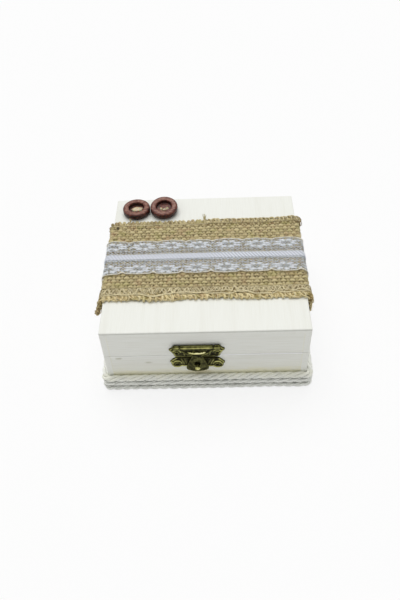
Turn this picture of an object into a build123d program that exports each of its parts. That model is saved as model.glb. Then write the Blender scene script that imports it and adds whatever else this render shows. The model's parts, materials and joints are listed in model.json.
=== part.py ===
from build123d import *
import os
from math import cos, dist, radians, sin

# A square wooden keepsake box. The lid and the base are each four boards and a panel.
# The lid carries a burlap band, a lace ribbon and two buttons. The base is wound with rope.
# Two butt hinges join them at the back and a small hasp latch closes them in front.
# The origin is the middle of the box's underside, the front faces -Y and up is +Z.
# All lengths are in millimetres and all angles in degrees.

# Boards
box_width = 100.0
box_depth = 100.0
base_height = 24.6
lid_height = 17.4
wall = 6.0
corner_tongue = 3.0
top_panel = 3.0
bottom_panel = 3.0

# Rope wound round the base
rope_turns = 3
rope_pitch = 3.6
rope_tube = 3.1
rope_foot_gap = 0.1
rope_wall_gap = 0.3
rope_corner_radius = 2.2
rope_climb_run = 20.0
rope_climb_radius = 12.0
rope_end_gap = 2.0

# Cloth bands over the lid, each lying on the one before it
cloth_gap = 0.1
bend_radius = 1.8
bend_inset = 0.3
flap_length = 9.4
left_flare = 14.0
right_flare = 1.0
burlap_width = 60.0
burlap_thickness = 1.2
cloth_shift = -0.3
lace_width = 25.0
lace_thickness = 0.5
satin_width = 4.0
satin_thickness = 0.4

# Buttons glued behind the burlap
button_diameter = 15.2
button_thickness = 3.5
button_edge = 0.9
button_rim = 3.2
button_recess = 2.3
button_hole = 1.8
button_hole_spacing = 3.6
button_spacing = 15.5
button_side_inset = 19.75
button_burlap_gap = 1.5
button_tilt = 6.5
glue_pad_diameter = 10.0
glue_pad_thickness = 0.4
glue_cap_diameter = 5.6
glue_cap_height = 0.5
glue_fit = 0.05

# Nails
nail_shank = 1.0
nail_head = 2.2
nail_head_height = 0.5
nail_length = 4.8
nail_fit = 0.03

# Latch, measured from its own middle line and from the seam
latch_x = -4.3
latch_sheet = 0.6
latch_half_width = 13.4
latch_shoulder = 11.4
latch_foot = 6.4
latch_plate_low = 0.25
latch_plate_high = 9.0
latch_tip = 4.8
latch_knuckle_end = 11.3
latch_nail_x = 9.8
upper_nail_height = 2.6
lower_nail_depth = 6.3
latch_axis_height = 7.4
latch_barrel = 2.5
latch_pin = 1.1
latch_pin_head = 1.3
latch_barrel_gap = 0.05
hasp_knuckle_half = 8.0
hasp_gap = 0.2
hasp_neck_half = 2.4
hasp_wing_half = 6.4
hasp_wing_height = 3.2
hasp_bell_half = 5.5
hasp_bell_depth = 8.2
hasp_bottom = 11.3
hasp_boss_half = 4.4
hasp_boss_height = 4.1
hasp_boss_tall = 1.1
hasp_boss_proud = 0.5
slot_width = 3.2
slot_top = 3.3
slot_bottom = 8.7
catch_width = 2.4
catch_sheet = 0.7
catch_root = 5.6
catch_reach = 2.3
catch_drop = 2.5
catch_bend = 0.5

# Hinges
hinge_side_inset = 22.0
hinge_width = 18.0
hinge_leaf_height = 7.0
hinge_leaf_gap = 1.5
hinge_sheet = 0.6
hinge_axis_out = 1.6
hinge_barrel = 2.6
hinge_pin = 1.2
hinge_pin_head = 1.9
hinge_middle_knuckle = 6.6
hinge_nail_x = 5.6
hinge_nail_height = 5.4
knuckle_gap = 0.2
pin_fit = 0.05
pin_head_length = 0.4

# Places that follow from the sizes above
half_width = box_width / 2
half_depth = box_depth / 2
seam = base_height
total_height = base_height + lid_height
button_radius = button_diameter / 2
button_pair_x = -half_width + button_side_inset
button_pair_y = cloth_shift + burlap_width / 2 + button_burlap_gap + button_radius
hinge_x = half_width - hinge_side_inset
hinge_axis_y = half_depth + hinge_axis_out
latch_axis_y = -(half_depth + latch_barrel_gap + latch_barrel / 2)
latch_axis_z = seam + latch_axis_height
catch_tip_y = -(half_depth + latch_sheet + catch_reach)


def bar_x(x_low, x_high, y, z, diameter):
    """Round bar along X."""
    length = x_high - x_low
    return Pos((x_low + x_high) / 2, y, z) * Rotation(0, 90, 0) * Cylinder(diameter / 2, length)


def block(x_low, x_high, y_low, y_high, z_low, z_high):
    """Box between two corners."""
    centre = Pos((x_low + x_high) / 2, (y_low + y_high) / 2, (z_low + z_high) / 2)
    return centre * Box(x_high - x_low, y_high - y_low, z_high - z_low)


def pilot_hole(x, face_y, z):
    """Hole along Y for one nail, open at the face and as deep as the nail is long."""
    depth = 2 * (nail_length + nail_fit)
    radius = nail_shank / 2 + nail_fit
    return Pos(x, face_y, z) * Rotation(90, 0, 0) * Cylinder(radius, depth)


def nail(x, sheet_y, z, outward):
    """Round-headed nail through a sheet's outer face; outward is -1 at the front, 1 at the back."""
    sheet = latch_sheet if outward < 0 else hinge_sheet
    head = Cylinder(nail_head / 2, nail_head_height, align=(Align.CENTER, Align.CENTER, Align.MIN))
    rim = head.edges().sort_by(Axis.Z)[-1]
    head = fillet(rim, nail_head_height * 0.7)
    shank = Cylinder(
        nail_shank / 2,
        nail_length + sheet,
        align=(Align.CENTER, Align.CENTER, Align.MAX),
    )
    turn = Rotation(90, 0, 0) if outward < 0 else Rotation(-90, 0, 0)
    return Pos(x, sheet_y, z) * turn * (head + shank)


def nail_hole_in_sheet(x, face_y, z):
    """Hole for a nail's shank through a metal sheet at a face of the box."""
    radius = nail_shank / 2 + nail_fit
    return Pos(x, face_y, z) * Rotation(90, 0, 0) * Cylinder(radius, 4 * latch_sheet)


def side_wall(side, z_low, z_high):
    """Full-depth board at the left (-1) or right (1), rebated at both ends."""
    inner = side * (half_width - wall)
    outer = side * half_width
    board = block(min(inner, outer), max(inner, outer), -half_depth, half_depth, z_low, z_high)
    tongue = side * (half_width - corner_tongue)
    for end in (-1, 1):
        face = end * half_depth
        back = end * (half_depth - wall)
        board -= block(
            min(inner, tongue), max(inner, tongue), min(face, back), max(face, back), z_low, z_high
        )
    return board


def cross_wall(end, z_low, z_high, nail_places):
    """Board between the tongues at the front (-1) or back (1), with its nails' pilot holes."""
    reach = half_width - corner_tongue
    face = end * half_depth
    back = end * (half_depth - wall)
    board = block(-reach, reach, min(face, back), max(face, back), z_low, z_high)
    for x, z in nail_places:
        board -= pilot_hole(x, face, z)
    return board


def latch_nail_places(height):
    """The two nails of one latch plate, as X and Z."""
    return [(latch_x + side * latch_nail_x, seam + height) for side in (-1, 1)]


def hinge_nail_places(side):
    """The four nails of the two leaves on the base (-1) or the lid (1), as X and Z."""
    z = seam + side * hinge_nail_height
    return [
        (hinge + offset, z)
        for hinge in (-hinge_x, hinge_x)
        for offset in (-hinge_nail_x, hinge_nail_x)
    ]


def rope_corners(z):
    """The four corners of one turn, from the back left round the front to the back right."""
    out_x = half_width + rope_wall_gap + rope_tube / 2
    out_y = half_depth + rope_wall_gap + rope_tube / 2
    return [(-out_x, out_y, z), (-out_x, -out_y, z), (out_x, -out_y, z), (out_x, out_y, z)]


def rope_path():
    """Winding that starts and ends behind the box and climbs one pitch there in each turn."""
    out_y = half_depth + rope_wall_gap + rope_tube / 2
    climb_start = rope_climb_run / 2
    first_z = rope_foot_gap + rope_pitch / 2
    points = [(-climb_start - rope_end_gap, out_y, first_z)]
    radii = []
    for turn in range(rope_turns):
        z = first_z + turn * rope_pitch
        points += rope_corners(z)
        radii += [rope_corner_radius] * 4
        if turn < rope_turns - 1:
            points += [(climb_start, out_y, z), (-climb_start, out_y, z + rope_pitch)]
            radii += [rope_climb_radius] * 2
    points.append((climb_start + rope_end_gap, out_y, z))
    return FilletPolyline(*points, radius=radii)


def least_rope_gap(path):
    """Smallest gap between one turn and the next, measured on points about 1 mm apart."""
    count = int(path.length)
    points = [tuple(path.position_at(i / count)) for i in range(count + 1)]
    half_turn = int(box_width + box_depth)
    nearest = min(
        dist(points[i], points[j])
        for i in range(len(points))
        for j in range(i + half_turn, len(points))
    )
    return nearest - rope_tube


def rope_trim():
    """One unbroken tube along the winding."""
    path = rope_path()
    print("least gap between rope turns", round(least_rope_gap(path), 3), "mm")
    start = Plane(origin=path @ 0, z_dir=path % 0)
    tube = sweep(start * Circle(rope_tube / 2), path=path)
    print("rope length", round(path.length, 1), "mm, volume", round(tube.volume, 1), "mm3")
    return tube


def cloth_side(side, flare, gap):
    """One side of a cloth face in XZ: the bend over the lid's edge and the flap below it."""
    radius = bend_radius + gap
    centre_x = half_width - bend_inset
    centre_z = total_height + cloth_gap - bend_radius
    angles = (90, (90 + flare) / 2, flare)
    top, bend, hem = [
        (side * (centre_x + radius * cos(radians(angle))), centre_z + radius * sin(radians(angle)))
        for angle in angles
    ]
    end = (
        hem[0] + side * flap_length * sin(radians(flare)),
        hem[1] - flap_length * cos(radians(flare)),
    )
    return [ThreePointArc(top, bend, hem), Line(hem, end)], top, end


def cloth_face(gap):
    """One face of a cloth band in XZ, from the left flap's end over the lid to the right one."""
    left, left_top, left_end = cloth_side(-1, left_flare, gap)
    right, right_top, right_end = cloth_side(1, right_flare, gap)
    return left + [Line(left_top, right_top)] + right, left_end, right_end


def cloth_band(width, gap, thickness):
    """Band of even thickness over the lid, from one flap to the other; gap is to the burlap's back."""
    inner, inner_left, inner_right = cloth_face(gap)
    outer, outer_left, outer_right = cloth_face(gap + thickness)
    hems = [Line(inner_left, outer_left), Line(inner_right, outer_right)]
    section = make_face(inner + outer + hems)
    plane = Plane(origin=(0, cloth_shift + width / 2, 0), x_dir=(1, 0, 0), z_dir=(0, -1, 0))
    return extrude(plane * section, amount=width)


def button_place(side):
    """Place of the left (-1) or right (1) button's underside; the right one is tipped forward."""
    x = button_pair_x + side * button_spacing / 2
    z = total_height + glue_pad_thickness
    tilt = button_tilt if side > 0 else 0
    front_edge = Pos(x, button_pair_y - button_radius, z)
    return front_edge * Rotation(tilt, 0, 0) * Pos(0, button_radius, 0)


def button(side):
    """Turned button with a raised rim, a dished middle and two holes."""
    up = (Align.CENTER, Align.CENTER, Align.MIN)
    disc = Cylinder(button_radius, button_thickness, align=up)
    disc = fillet(disc.edges().filter_by(GeomType.CIRCLE), button_edge)
    floor = button_thickness - button_recess
    dish = Pos(0, 0, floor) * Cylinder(button_radius - button_rim, button_thickness, align=up)
    disc -= dish
    for hole_side in (-1, 1):
        hole_x = hole_side * button_hole_spacing / 2
        disc -= Pos(hole_x, 0, 0) * Cylinder(button_hole / 2, button_thickness, align=up)
    return button_place(side) * disc


def button_glue(side):
    """Glue pad under a button, with a plug up each hole and a cap in the dish."""
    up = (Align.CENTER, Align.CENTER, Align.MIN)
    place = button_place(side)
    x = button_pair_x + side * button_spacing / 2
    column = Cylinder(glue_pad_diameter / 2, button_thickness, align=up)
    pad = Pos(x, button_pair_y, total_height) * column
    pad -= place * Cylinder(button_diameter, button_diameter, align=up)
    floor = button_thickness - button_recess
    cap = Cylinder(glue_cap_diameter / 2, glue_cap_height, align=up)
    glue = pad + place * Pos(0, 0, floor) * fillet(
        cap.edges().sort_by(Axis.Z)[-1], glue_cap_height * 0.8
    )
    for hole_side in (-1, 1):
        plug = Cylinder(button_hole / 2 - glue_fit, floor, align=up)
        glue += place * Pos(hole_side * button_hole_spacing / 2, 0, 0) * plug
    return glue


def front_plane(y):
    """Drawing plane of the latch: X from its middle line, Y up from the seam, facing forward."""
    return Plane(origin=(latch_x, y, seam), x_dir=(1, 0, 0), z_dir=(0, -1, 0))


def symmetric_face(half):
    """Face from the edges of its right half."""
    return make_face(half + [mirror(edge, about=Plane.YZ) for edge in half])


def plate_face(sign, shoulder_height):
    """Latch plate with a pointed tip at each end; sign is 1 above the seam, -1 below it."""
    low = (latch_foot, sign * latch_plate_low)
    waist = (latch_foot + 2.8, sign * (latch_plate_low + 0.3))
    heel = (latch_shoulder, sign * (latch_plate_low + 1.7))
    tip = (latch_half_width, sign * latch_tip)
    notch = (latch_shoulder + 0.7, sign * (latch_tip + 1.4))
    shoulder = (latch_shoulder, sign * shoulder_height)
    half = [
        Line((0, low[1]), low),
        ThreePointArc(low, waist, heel),
        Line(heel, tip),
        ThreePointArc(tip, notch, shoulder),
        Line(shoulder, (0, shoulder[1])),
    ]
    return symmetric_face(half)


def latch_upper_plate():
    """Lid's latch plate, with a knuckle at each end for the hasp's pin."""
    face = plate_face(1, latch_axis_height)
    plate = extrude(front_plane(-half_depth) * face, amount=latch_sheet)
    clear = latch_barrel / 2 + hasp_gap
    notch = hasp_knuckle_half + knuckle_gap
    plate -= block(
        latch_x - notch,
        latch_x + notch,
        -half_depth - latch_barrel,
        -half_depth + latch_sheet,
        latch_axis_z - clear,
        latch_axis_z + latch_barrel,
    )
    for side in (-1, 1):
        ends = sorted((latch_x + side * notch, latch_x + side * latch_knuckle_end))
        plate += bar_x(ends[0], ends[1], latch_axis_y, latch_axis_z, latch_barrel)
    whole = latch_x - latch_half_width, latch_x + latch_half_width
    plate -= bar_x(whole[0], whole[1], latch_axis_y, latch_axis_z, latch_pin + 2 * pin_fit)
    for x, z in latch_nail_places(upper_nail_height):
        plate -= nail_hole_in_sheet(x, -half_depth, z)
    return plate


def latch_lower_plate():
    """Base's latch plate, with the bent catch that stands through the hasp's slot."""
    face = plate_face(-1, latch_plate_high)
    plate = extrude(front_plane(-half_depth) * face, amount=latch_sheet)
    root_z = seam - catch_root
    sheet_y = -(half_depth + latch_sheet)
    arm = block(
        latch_x - catch_width / 2,
        latch_x + catch_width / 2,
        catch_tip_y,
        sheet_y + latch_sheet / 2,
        root_z - catch_sheet,
        root_z,
    )
    hook = block(
        latch_x - catch_width / 2,
        latch_x + catch_width / 2,
        catch_tip_y,
        catch_tip_y + catch_sheet,
        root_z - catch_drop,
        root_z,
    )
    catch = arm + hook
    outer_bend = catch.edges().filter_by(Axis.X).group_by(Axis.Z)[-1].sort_by(Axis.Y)[0]
    catch = fillet(outer_bend, catch_bend)
    plate += catch
    for x, z in latch_nail_places(-lower_nail_depth):
        plate -= nail_hole_in_sheet(x, -half_depth, z)
    return plate


def hasp_face():
    """Hasp's outline below its knuckle: wings, neck and bell."""
    top = (hasp_knuckle_half, latch_axis_height)
    wing = (hasp_knuckle_half, hasp_wing_height + 2)
    curve = (hasp_wing_half, hasp_wing_height)
    neck = (hasp_neck_half, 1.2)
    throat = (hasp_neck_half, -0.4)
    bell = (hasp_bell_half, -hasp_bell_depth)
    flank = ((hasp_neck_half + hasp_bell_half) / 2 + 0.4, -hasp_bell_depth / 2)
    lip = (hasp_bell_half * 0.72, -hasp_bottom + 1.0)
    half = [
        Line((0, top[1]), top),
        Line(top, wing),
        ThreePointArc(wing, curve, neck),
        Line(neck, throat),
        ThreePointArc(throat, flank, bell),
        ThreePointArc(bell, lip, (0, -hasp_bottom)),
    ]
    return symmetric_face(half)


def slot_face():
    """Arched slot in the bell for the catch."""
    half = slot_width / 2
    shoulder = -slot_top - half
    outline = [
        Line((-half, -slot_bottom), (half, -slot_bottom)),
        Line((half, -slot_bottom), (half, shoulder)),
        ThreePointArc((half, shoulder), (0, -slot_top), (-half, shoulder)),
        Line((-half, shoulder), (-half, -slot_bottom)),
    ]
    return make_face(outline)


def latch_hasp():
    """Swinging hasp: knuckle, leaf with an oval boss, and slotted bell."""
    back = -(half_depth + latch_sheet + hasp_gap)
    leaf = extrude(front_plane(back) * (hasp_face() - slot_face()), amount=latch_sheet)
    front = front_plane(back - latch_sheet)
    boss = Pos(0, hasp_boss_height) * Ellipse(hasp_boss_half, hasp_boss_tall)
    leaf += extrude(front * boss, amount=hasp_boss_proud)
    ends = latch_x - hasp_knuckle_half, latch_x + hasp_knuckle_half
    leaf += bar_x(ends[0], ends[1], latch_axis_y, latch_axis_z, latch_barrel)
    bore = latch_pin + 2 * pin_fit
    leaf -= bar_x(ends[0] - 1, ends[1] + 1, latch_axis_y, latch_axis_z, bore)
    return leaf


def headed_pin(x_low, x_high, y, z, diameter, head):
    """Hinge pin along X with a flat head beyond each end knuckle."""
    pin = bar_x(x_low, x_high, y, z, diameter)
    pin += bar_x(x_low - pin_head_length, x_low, y, z, head)
    pin += bar_x(x_high, x_high + pin_head_length, y, z, head)
    return pin


def latch_hasp_pin():
    """Pin through the upper plate's knuckles and the hasp."""
    low = latch_x - latch_knuckle_end - pin_fit
    high = latch_x + latch_knuckle_end + pin_fit
    return headed_pin(low, high, latch_axis_y, latch_axis_z, latch_pin, latch_pin_head)


def hinge_knuckles(middle_x, side):
    """X ends of a leaf's knuckles: one in the middle on the lid, one at each end on the base."""
    inner = hinge_middle_knuckle / 2
    if side > 0:
        return [(middle_x - inner, middle_x + inner)]
    outer = hinge_width / 2
    start = inner + knuckle_gap
    return [(middle_x - outer, middle_x - start), (middle_x + start, middle_x + outer)]


def hinge_leaf(middle_x, side):
    """Leaf on the back face of the base (-1) or the lid (1), with its rolled knuckles."""
    near = seam + side * hinge_leaf_gap
    far = near + side * hinge_leaf_height
    half = hinge_width / 2
    leaf = block(
        middle_x - half,
        middle_x + half,
        half_depth,
        half_depth + hinge_sheet,
        min(near, far),
        max(near, far),
    )
    roll_y = hinge_axis_y - hinge_barrel / 2
    web = make_face(
        Polyline(
            (half_depth, near),
            (half_depth + hinge_sheet, near),
            (roll_y + hinge_sheet, seam),
            (roll_y, seam),
            close=True,
        )
    )
    for low, high in hinge_knuckles(middle_x, side):
        plane = Plane(origin=(low, 0, 0), x_dir=(0, 1, 0), z_dir=(1, 0, 0))
        leaf += extrude(plane * web, amount=high - low)
        leaf += bar_x(low, high, hinge_axis_y, seam, hinge_barrel)
    bore = hinge_pin + 2 * pin_fit
    leaf -= bar_x(middle_x - hinge_width, middle_x + hinge_width, hinge_axis_y, seam, bore)
    for x, z in hinge_nail_places(side):
        leaf -= nail_hole_in_sheet(x, half_depth, z)
    return leaf


def hinge_pin_at(middle_x):
    """Pin of one hinge."""
    low = middle_x - hinge_width / 2 - pin_fit
    high = middle_x + hinge_width / 2 + pin_fit
    return headed_pin(low, high, hinge_axis_y, seam, hinge_pin, hinge_pin_head)


def nails(places, outward):
    """The nails of one kind, as separate solids in one group."""
    sheet = latch_sheet if outward < 0 else hinge_sheet
    face = outward * (half_depth + sheet)
    return Compound(children=[nail(x, face, z, outward) for x, z in places])


def box_nodes():
    """Boards and panels of the base and the lid."""
    lid_wall_top = total_height - top_panel
    lower = latch_nail_places(-lower_nail_depth)
    upper = latch_nail_places(upper_nail_height)
    plan = (-half_width, half_width, -half_depth, half_depth)
    return {
        "base_bottom_panel": block(*plan, 0, bottom_panel),
        "base_left_wall": side_wall(-1, bottom_panel, seam),
        "base_right_wall": side_wall(1, bottom_panel, seam),
        "base_front_wall": cross_wall(-1, bottom_panel, seam, lower),
        "base_back_wall": cross_wall(1, bottom_panel, seam, hinge_nail_places(-1)),
        "lid_top_panel": block(*plan, lid_wall_top, total_height),
        "lid_left_wall": side_wall(-1, seam, lid_wall_top),
        "lid_right_wall": side_wall(1, seam, lid_wall_top),
        "lid_front_wall": cross_wall(-1, seam, lid_wall_top, upper),
        "lid_back_wall": cross_wall(1, seam, lid_wall_top, hinge_nail_places(1)),
    }


def trim_nodes():
    """Rope, cloth bands, buttons and their glue."""
    lace_gap = burlap_thickness + cloth_gap
    satin_gap = lace_gap + lace_thickness + cloth_gap
    return {
        "rope_trim": rope_trim(),
        "burlap_band": cloth_band(burlap_width, 0, burlap_thickness),
        "lace_ribbon": cloth_band(lace_width, lace_gap, lace_thickness),
        "satin_ribbon": cloth_band(satin_width, satin_gap, satin_thickness),
        "button_left": button(-1),
        "button_right": button(1),
        "button_glue_left": button_glue(-1),
        "button_glue_right": button_glue(1),
    }


def metal_nodes():
    """Latch, hinges and their pins and nails."""
    return {
        "latch_upper_plate": latch_upper_plate(),
        "latch_lower_plate": latch_lower_plate(),
        "latch_hasp": latch_hasp(),
        "latch_hasp_pin": latch_hasp_pin(),
        "latch_upper_nails": nails(latch_nail_places(upper_nail_height), -1),
        "latch_lower_nails": nails(latch_nail_places(-lower_nail_depth), -1),
        "hinge_left_base_leaf": hinge_leaf(-hinge_x, -1),
        "hinge_right_base_leaf": hinge_leaf(hinge_x, -1),
        "hinge_left_lid_leaf": hinge_leaf(-hinge_x, 1),
        "hinge_right_lid_leaf": hinge_leaf(hinge_x, 1),
        "hinge_left_pin": hinge_pin_at(-hinge_x),
        "hinge_right_pin": hinge_pin_at(hinge_x),
        "hinge_base_nails": nails(hinge_nail_places(-1), 1),
        "hinge_lid_nails": nails(hinge_nail_places(1), 1),
    }


os.makedirs("parts", exist_ok=True)
for node, shape in (box_nodes() | trim_nodes() | metal_nodes()).items():
    export_step(shape, f"parts/{node}.step")
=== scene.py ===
import json
from math import cos, pi, radians, sin

import bmesh
import bpy
import numpy as np
from bpy.props import FloatProperty, FloatVectorProperty, IntProperty, PointerProperty
from mathutils import Matrix, Vector


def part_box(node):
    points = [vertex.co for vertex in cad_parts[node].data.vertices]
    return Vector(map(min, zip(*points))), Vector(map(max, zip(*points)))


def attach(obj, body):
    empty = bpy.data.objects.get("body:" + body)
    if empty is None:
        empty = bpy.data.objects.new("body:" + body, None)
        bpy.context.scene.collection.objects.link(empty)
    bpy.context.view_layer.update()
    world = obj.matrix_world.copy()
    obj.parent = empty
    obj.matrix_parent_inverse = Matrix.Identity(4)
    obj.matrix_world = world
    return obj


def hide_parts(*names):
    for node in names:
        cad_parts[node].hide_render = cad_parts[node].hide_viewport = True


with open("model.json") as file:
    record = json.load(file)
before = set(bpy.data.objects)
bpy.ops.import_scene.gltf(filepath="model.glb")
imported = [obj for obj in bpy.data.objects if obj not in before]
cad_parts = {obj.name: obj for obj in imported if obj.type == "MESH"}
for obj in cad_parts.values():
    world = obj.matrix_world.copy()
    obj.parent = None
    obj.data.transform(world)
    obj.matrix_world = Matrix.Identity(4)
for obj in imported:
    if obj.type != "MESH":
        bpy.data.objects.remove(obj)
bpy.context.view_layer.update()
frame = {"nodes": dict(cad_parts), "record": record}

# The finish of a square wooden keepsake box: sanded boards, a burlap band with lace and satin,
# two lacquered buttons, three turns of cotton rope and an antique bronze hasp latch.
# All lengths are in metres, written as millimetres times MM, in the frame of the solid model.

bl_info = {
    "name": "Keepsake box finish",
    "version": (1, 0, 0),
    "blender": (4, 5, 0),
    "location": "3D View > Sidebar > Keepsake box",
    "description": "Dresses the solid keepsake box in wood, cloth, rope and metal",
    "category": "Object",
}

MM = 0.001
SEED = 11

# Places that the solid model gives
_, lid_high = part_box("lid_top_panel")
_, base_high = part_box("base_front_wall")
HALF_WIDTH = lid_high.x
HALF_DEPTH = lid_high.y
LID_TOP = lid_high.z
SEAM = base_high.z
hasp_low, hasp_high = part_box("latch_hasp")
LATCH_X = (hasp_low.x + hasp_high.x) / 2
GLUE_LINE_X = base_high.x - 0.2 * MM

# Cloth over the lid: one bend at each side, drawn close round the arris, and a flap below it
CLOTH_GAP = 0.1 * MM
CLOTH_SHIFT = -0.3 * MM
BURLAP_THICKNESS = 1.2 * MM
BEND_RADIUS = 1.9 * MM
BEND_INSET = 0.8 * MM
FLAP_LENGTH = 9.7 * MM
HALF_BAND = 30 * MM
BEND_X = HALF_WIDTH - BEND_INSET
BEND_Z = LID_TOP + CLOTH_GAP + BURLAP_THICKNESS / 2 - BEND_RADIUS

# Latch, from its own middle line and the seam
LATCH_SHEET = 0.6 * MM
BARREL_HEIGHT = 7.4 * MM
BARREL_RADIUS = 1.25 * MM
BARREL_BORE = 0.6 * MM
BARREL_OUT = 1.3 * MM
HASP_GAP = 0.2 * MM
NAIL_X = 9.8 * MM
UPPER_NAIL_V = 2.6 * MM
LOWER_NAIL_V = -6.3 * MM
LOWER_PLATE_TILT = radians(-2.5)

# Camera of the reference view, from the corners of the lid and the seam in the 400 by 600 frame
CAMERA_PLACE = (6.2998 * MM, -233.0179 * MM, 261.5984 * MM)
CAMERA_YAW = radians(-2.4241)
CAMERA_PITCH = radians(47.1944)
CAMERA_ROLL = radians(-3.1261)
CAMERA_LENS_MM = 36.84
CAMERA_SENSOR_MM = 36.0


def linear(hex_colour):
    """An sRGB hex colour as linear red, green and blue."""
    channels = [int(hex_colour[i : i + 2], 16) / 255 for i in (1, 3, 5)]
    return tuple(c / 12.92 if c <= 0.04045 else ((c + 0.055) / 1.055) ** 2.4 for c in channels)


def colour(name, description, hex_colour):
    """A colour that a user can change."""
    default = linear(hex_colour)
    return FloatVectorProperty(
        name=name, description=description, default=default, subtype="COLOR", size=3, min=0, max=1
    )


def length(name, description, default):
    """A length in metres that a user can change."""
    return FloatProperty(
        name=name, description=description, default=default, min=0, precision=5, unit="LENGTH"
    )


def opening(name, description, degrees):
    """An angle that a user can change."""
    return FloatProperty(name=name, description=description, default=radians(degrees), subtype="ANGLE")


class WoodSettings(bpy.types.PropertyGroup):
    """Sanded boards."""

    pale: colour("Pale wood", "Wood between the grain lines", "#F1F2EB")
    grain: colour("Grain", "The faint long streaks", "#DEDDD0")
    fleck: colour("Fleck", "The small dark flecks on the front", "#A19E7C")
    stain: colour("Glue stain", "Glue soaked into the front above the rope", "#EFEBC8")
    # The brown patch below the latch is painted reflection and shade of the bronze on the wood
    painted_latch_reflection_shade: colour("Brown patch", "Browned glue below the latch", "#B59C72")
    arris: length("Arris", "Rounding of the outer edges", 0.45 * MM)


class BurlapSettings(bpy.types.PropertyGroup):
    """Woven jute band with its hems."""

    pitch: length("Yarn pitch", "Distance from one yarn to the next", 2.18 * MM)
    long_width: length("Long yarn half width", "Half the width of a yarn along the band", 0.97 * MM)
    cross_width: length("Cross yarn half width", "Half the width of a yarn across the band", 0.74 * MM)
    half_height: length("Yarn half height", "Half the height of a yarn", 0.42 * MM)
    wave: length("Yarn wave", "How far a yarn rises and falls at a crossing", 0.4 * MM)
    # Light and dark jute are also the ends of the yarns' painted highlight and shade
    light: colour("Light jute", "Worn, sunlit fibres", "#D6C796")
    dark: colour("Dark jute", "Fibres deep in the yarn", "#7F6C40")
    # Painted shade: the colour seen in the gaps between the yarns, where the lid lies in shade below them
    shade: colour("Jute in the gaps", "Cloth seen between the yarns", "#6E5D35")
    warm: colour("Warm jute", "Reddish fibres in places", "#B28C66")
    olive: colour("Olive jute", "Greenish fibres in places", "#A9A45C")
    gold: colour("Golden hem", "Brown-gold yarn of the hem", "#F2E1AC")
    # Brown hem is also the painted shade between the hem's loops and on the flaps
    umber: colour("Brown hem", "Dark places of the hem", "#8A7236")
    thread: colour("Overlock thread", "Cream thread over the hems", "#EBDFB6")
    left_flare_front: opening("Left flare, front", "How far the left flap stands out at its front end", 18)
    left_flare_back: opening("Left flare, back", "How far the left flap stands out at its back end", 3)
    right_flare: opening("Right flare", "How far the right flap stands out", 1)


class LaceSettings(bpy.types.PropertyGroup):
    """Lace ribbon and the satin stripe on it."""

    motif_pitch: length("Motif pitch", "Distance from one flower to the next", 15.0 * MM)
    net_pitch: length("Net pitch", "Distance from one net thread to the next", 1.8 * MM)
    cell: length("Cutting grid", "Fineness of the lace's outline", 0.21 * MM)
    thread: colour("Lace thread", "White thread with a faint violet tone", "#E3E6E9")
    shade: colour("Lace shade", "Thread low in the lace", "#8E9292")
    cord: colour("Edge cord", "Cream cord along the scallops", "#F4EFDF")
    # Satin ridge and groove are the ends of the twill's painted sheen and shade
    satin_light: colour("Satin ridge", "Top of a twill ridge", "#DCE0E8")
    satin_dark: colour("Satin groove", "Between two twill ridges", "#7C828F")
    twill_pitch: length("Twill pitch", "Distance from one twill line to the next", 1.75 * MM)


class RopeSettings(bpy.types.PropertyGroup):
    """Twisted cotton rope round the base."""

    turns: IntProperty(name="Turns", description="Times the rope goes round", default=3, min=1)
    pitch: length("Row pitch", "Height of one row", 3.55 * MM)
    lay: length("Lay", "Length of one full twist of a strand", 14.6 * MM)
    strand: length("Strand radius", "Radius of one of the three strands", 0.86 * MM)
    helix: length("Helix radius", "Distance of a strand from the rope's middle", 0.85 * MM)
    # Pale cotton and cotton shade are also the painted light on the strands' outsides and the painted shade
    # between strands and rows
    pale: colour("Pale cotton", "Outside of a strand", "#FEFFF8")
    shade: colour("Cotton shade", "Between the strands", "#8C8E82")
    tinted: colour("Tinted cotton", "Upper row, where glue has soaked in", "#E6E3C4")


class MetalSettings(bpy.types.PropertyGroup):
    """Antique bronze of the latch and hinges."""

    # High places rubbed bright, and also the painted highlight where the relief faces up
    wear_and_highlight: colour("Worn bronze", "High places, rubbed bright", "#B3B16E")
    # Places rubbed most, and the painted highlight on the boss's upper edge and the catch's tip
    polish_and_highlight: colour("Polished bronze", "Places rubbed most, such as the boss", "#EDE7B0")
    middle: colour("Bronze", "Flat places", "#5B5A34")
    # Patina in recesses, and also the painted shade below the beads, along the slit between the plates and
    # where the catch goes through the slot
    dark: colour("Patina", "Recesses, nearly black", "#1B190A")
    bead: length("Bead height", "Height of the raised border", 0.34 * MM)
    cell: length("Stamping grid", "Fineness of the stamped sheets", 0.17 * MM)


class ButtonSettings(bpy.types.PropertyGroup):
    """Lacquered wooden buttons and their glue."""

    radius: length("Button radius", "Outer radius", 7.6 * MM)
    thickness: length("Button thickness", "Height of the rim", 3.5 * MM)
    # This colour is rubbed wear on the rims and also painted highlight on their tops
    wear_and_highlight: colour("Worn lacquer", "Rubbed rim of the buttons", "#8E6453")
    lacquer: colour("Lacquered wood", "Middle tone of the buttons", "#5E2A1C")
    # Dark lacquer is also the painted shade on the buttons' sides and the dishes' inner walls
    vein: colour("Dark lacquer", "Dark veins and the sides", "#220904")
    glue: colour("Glue", "Set hot glue", "#D6C7A2")


class StageSettings(bpy.types.PropertyGroup):
    """Floor and light."""

    floor: colour("Floor", "Plain pale floor", "#F6F6F6")
    sun: FloatProperty(name="Sun", description="Strength of the soft lamp", default=1.66, min=0)
    sky: FloatProperty(name="Sky", description="Strength of the white surroundings", default=0.47, min=0)


def settings(group):
    """The current scene's values of one group."""
    return getattr(bpy.context.scene, "keepsake_" + group)


# Materials


# Settings that every node of a kind has here
NODE_SETTINGS = {"MapRange": {"interpolation_type": "SMOOTHSTEP"}, "Mix": {"data_type": "RGBA"}}


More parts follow.
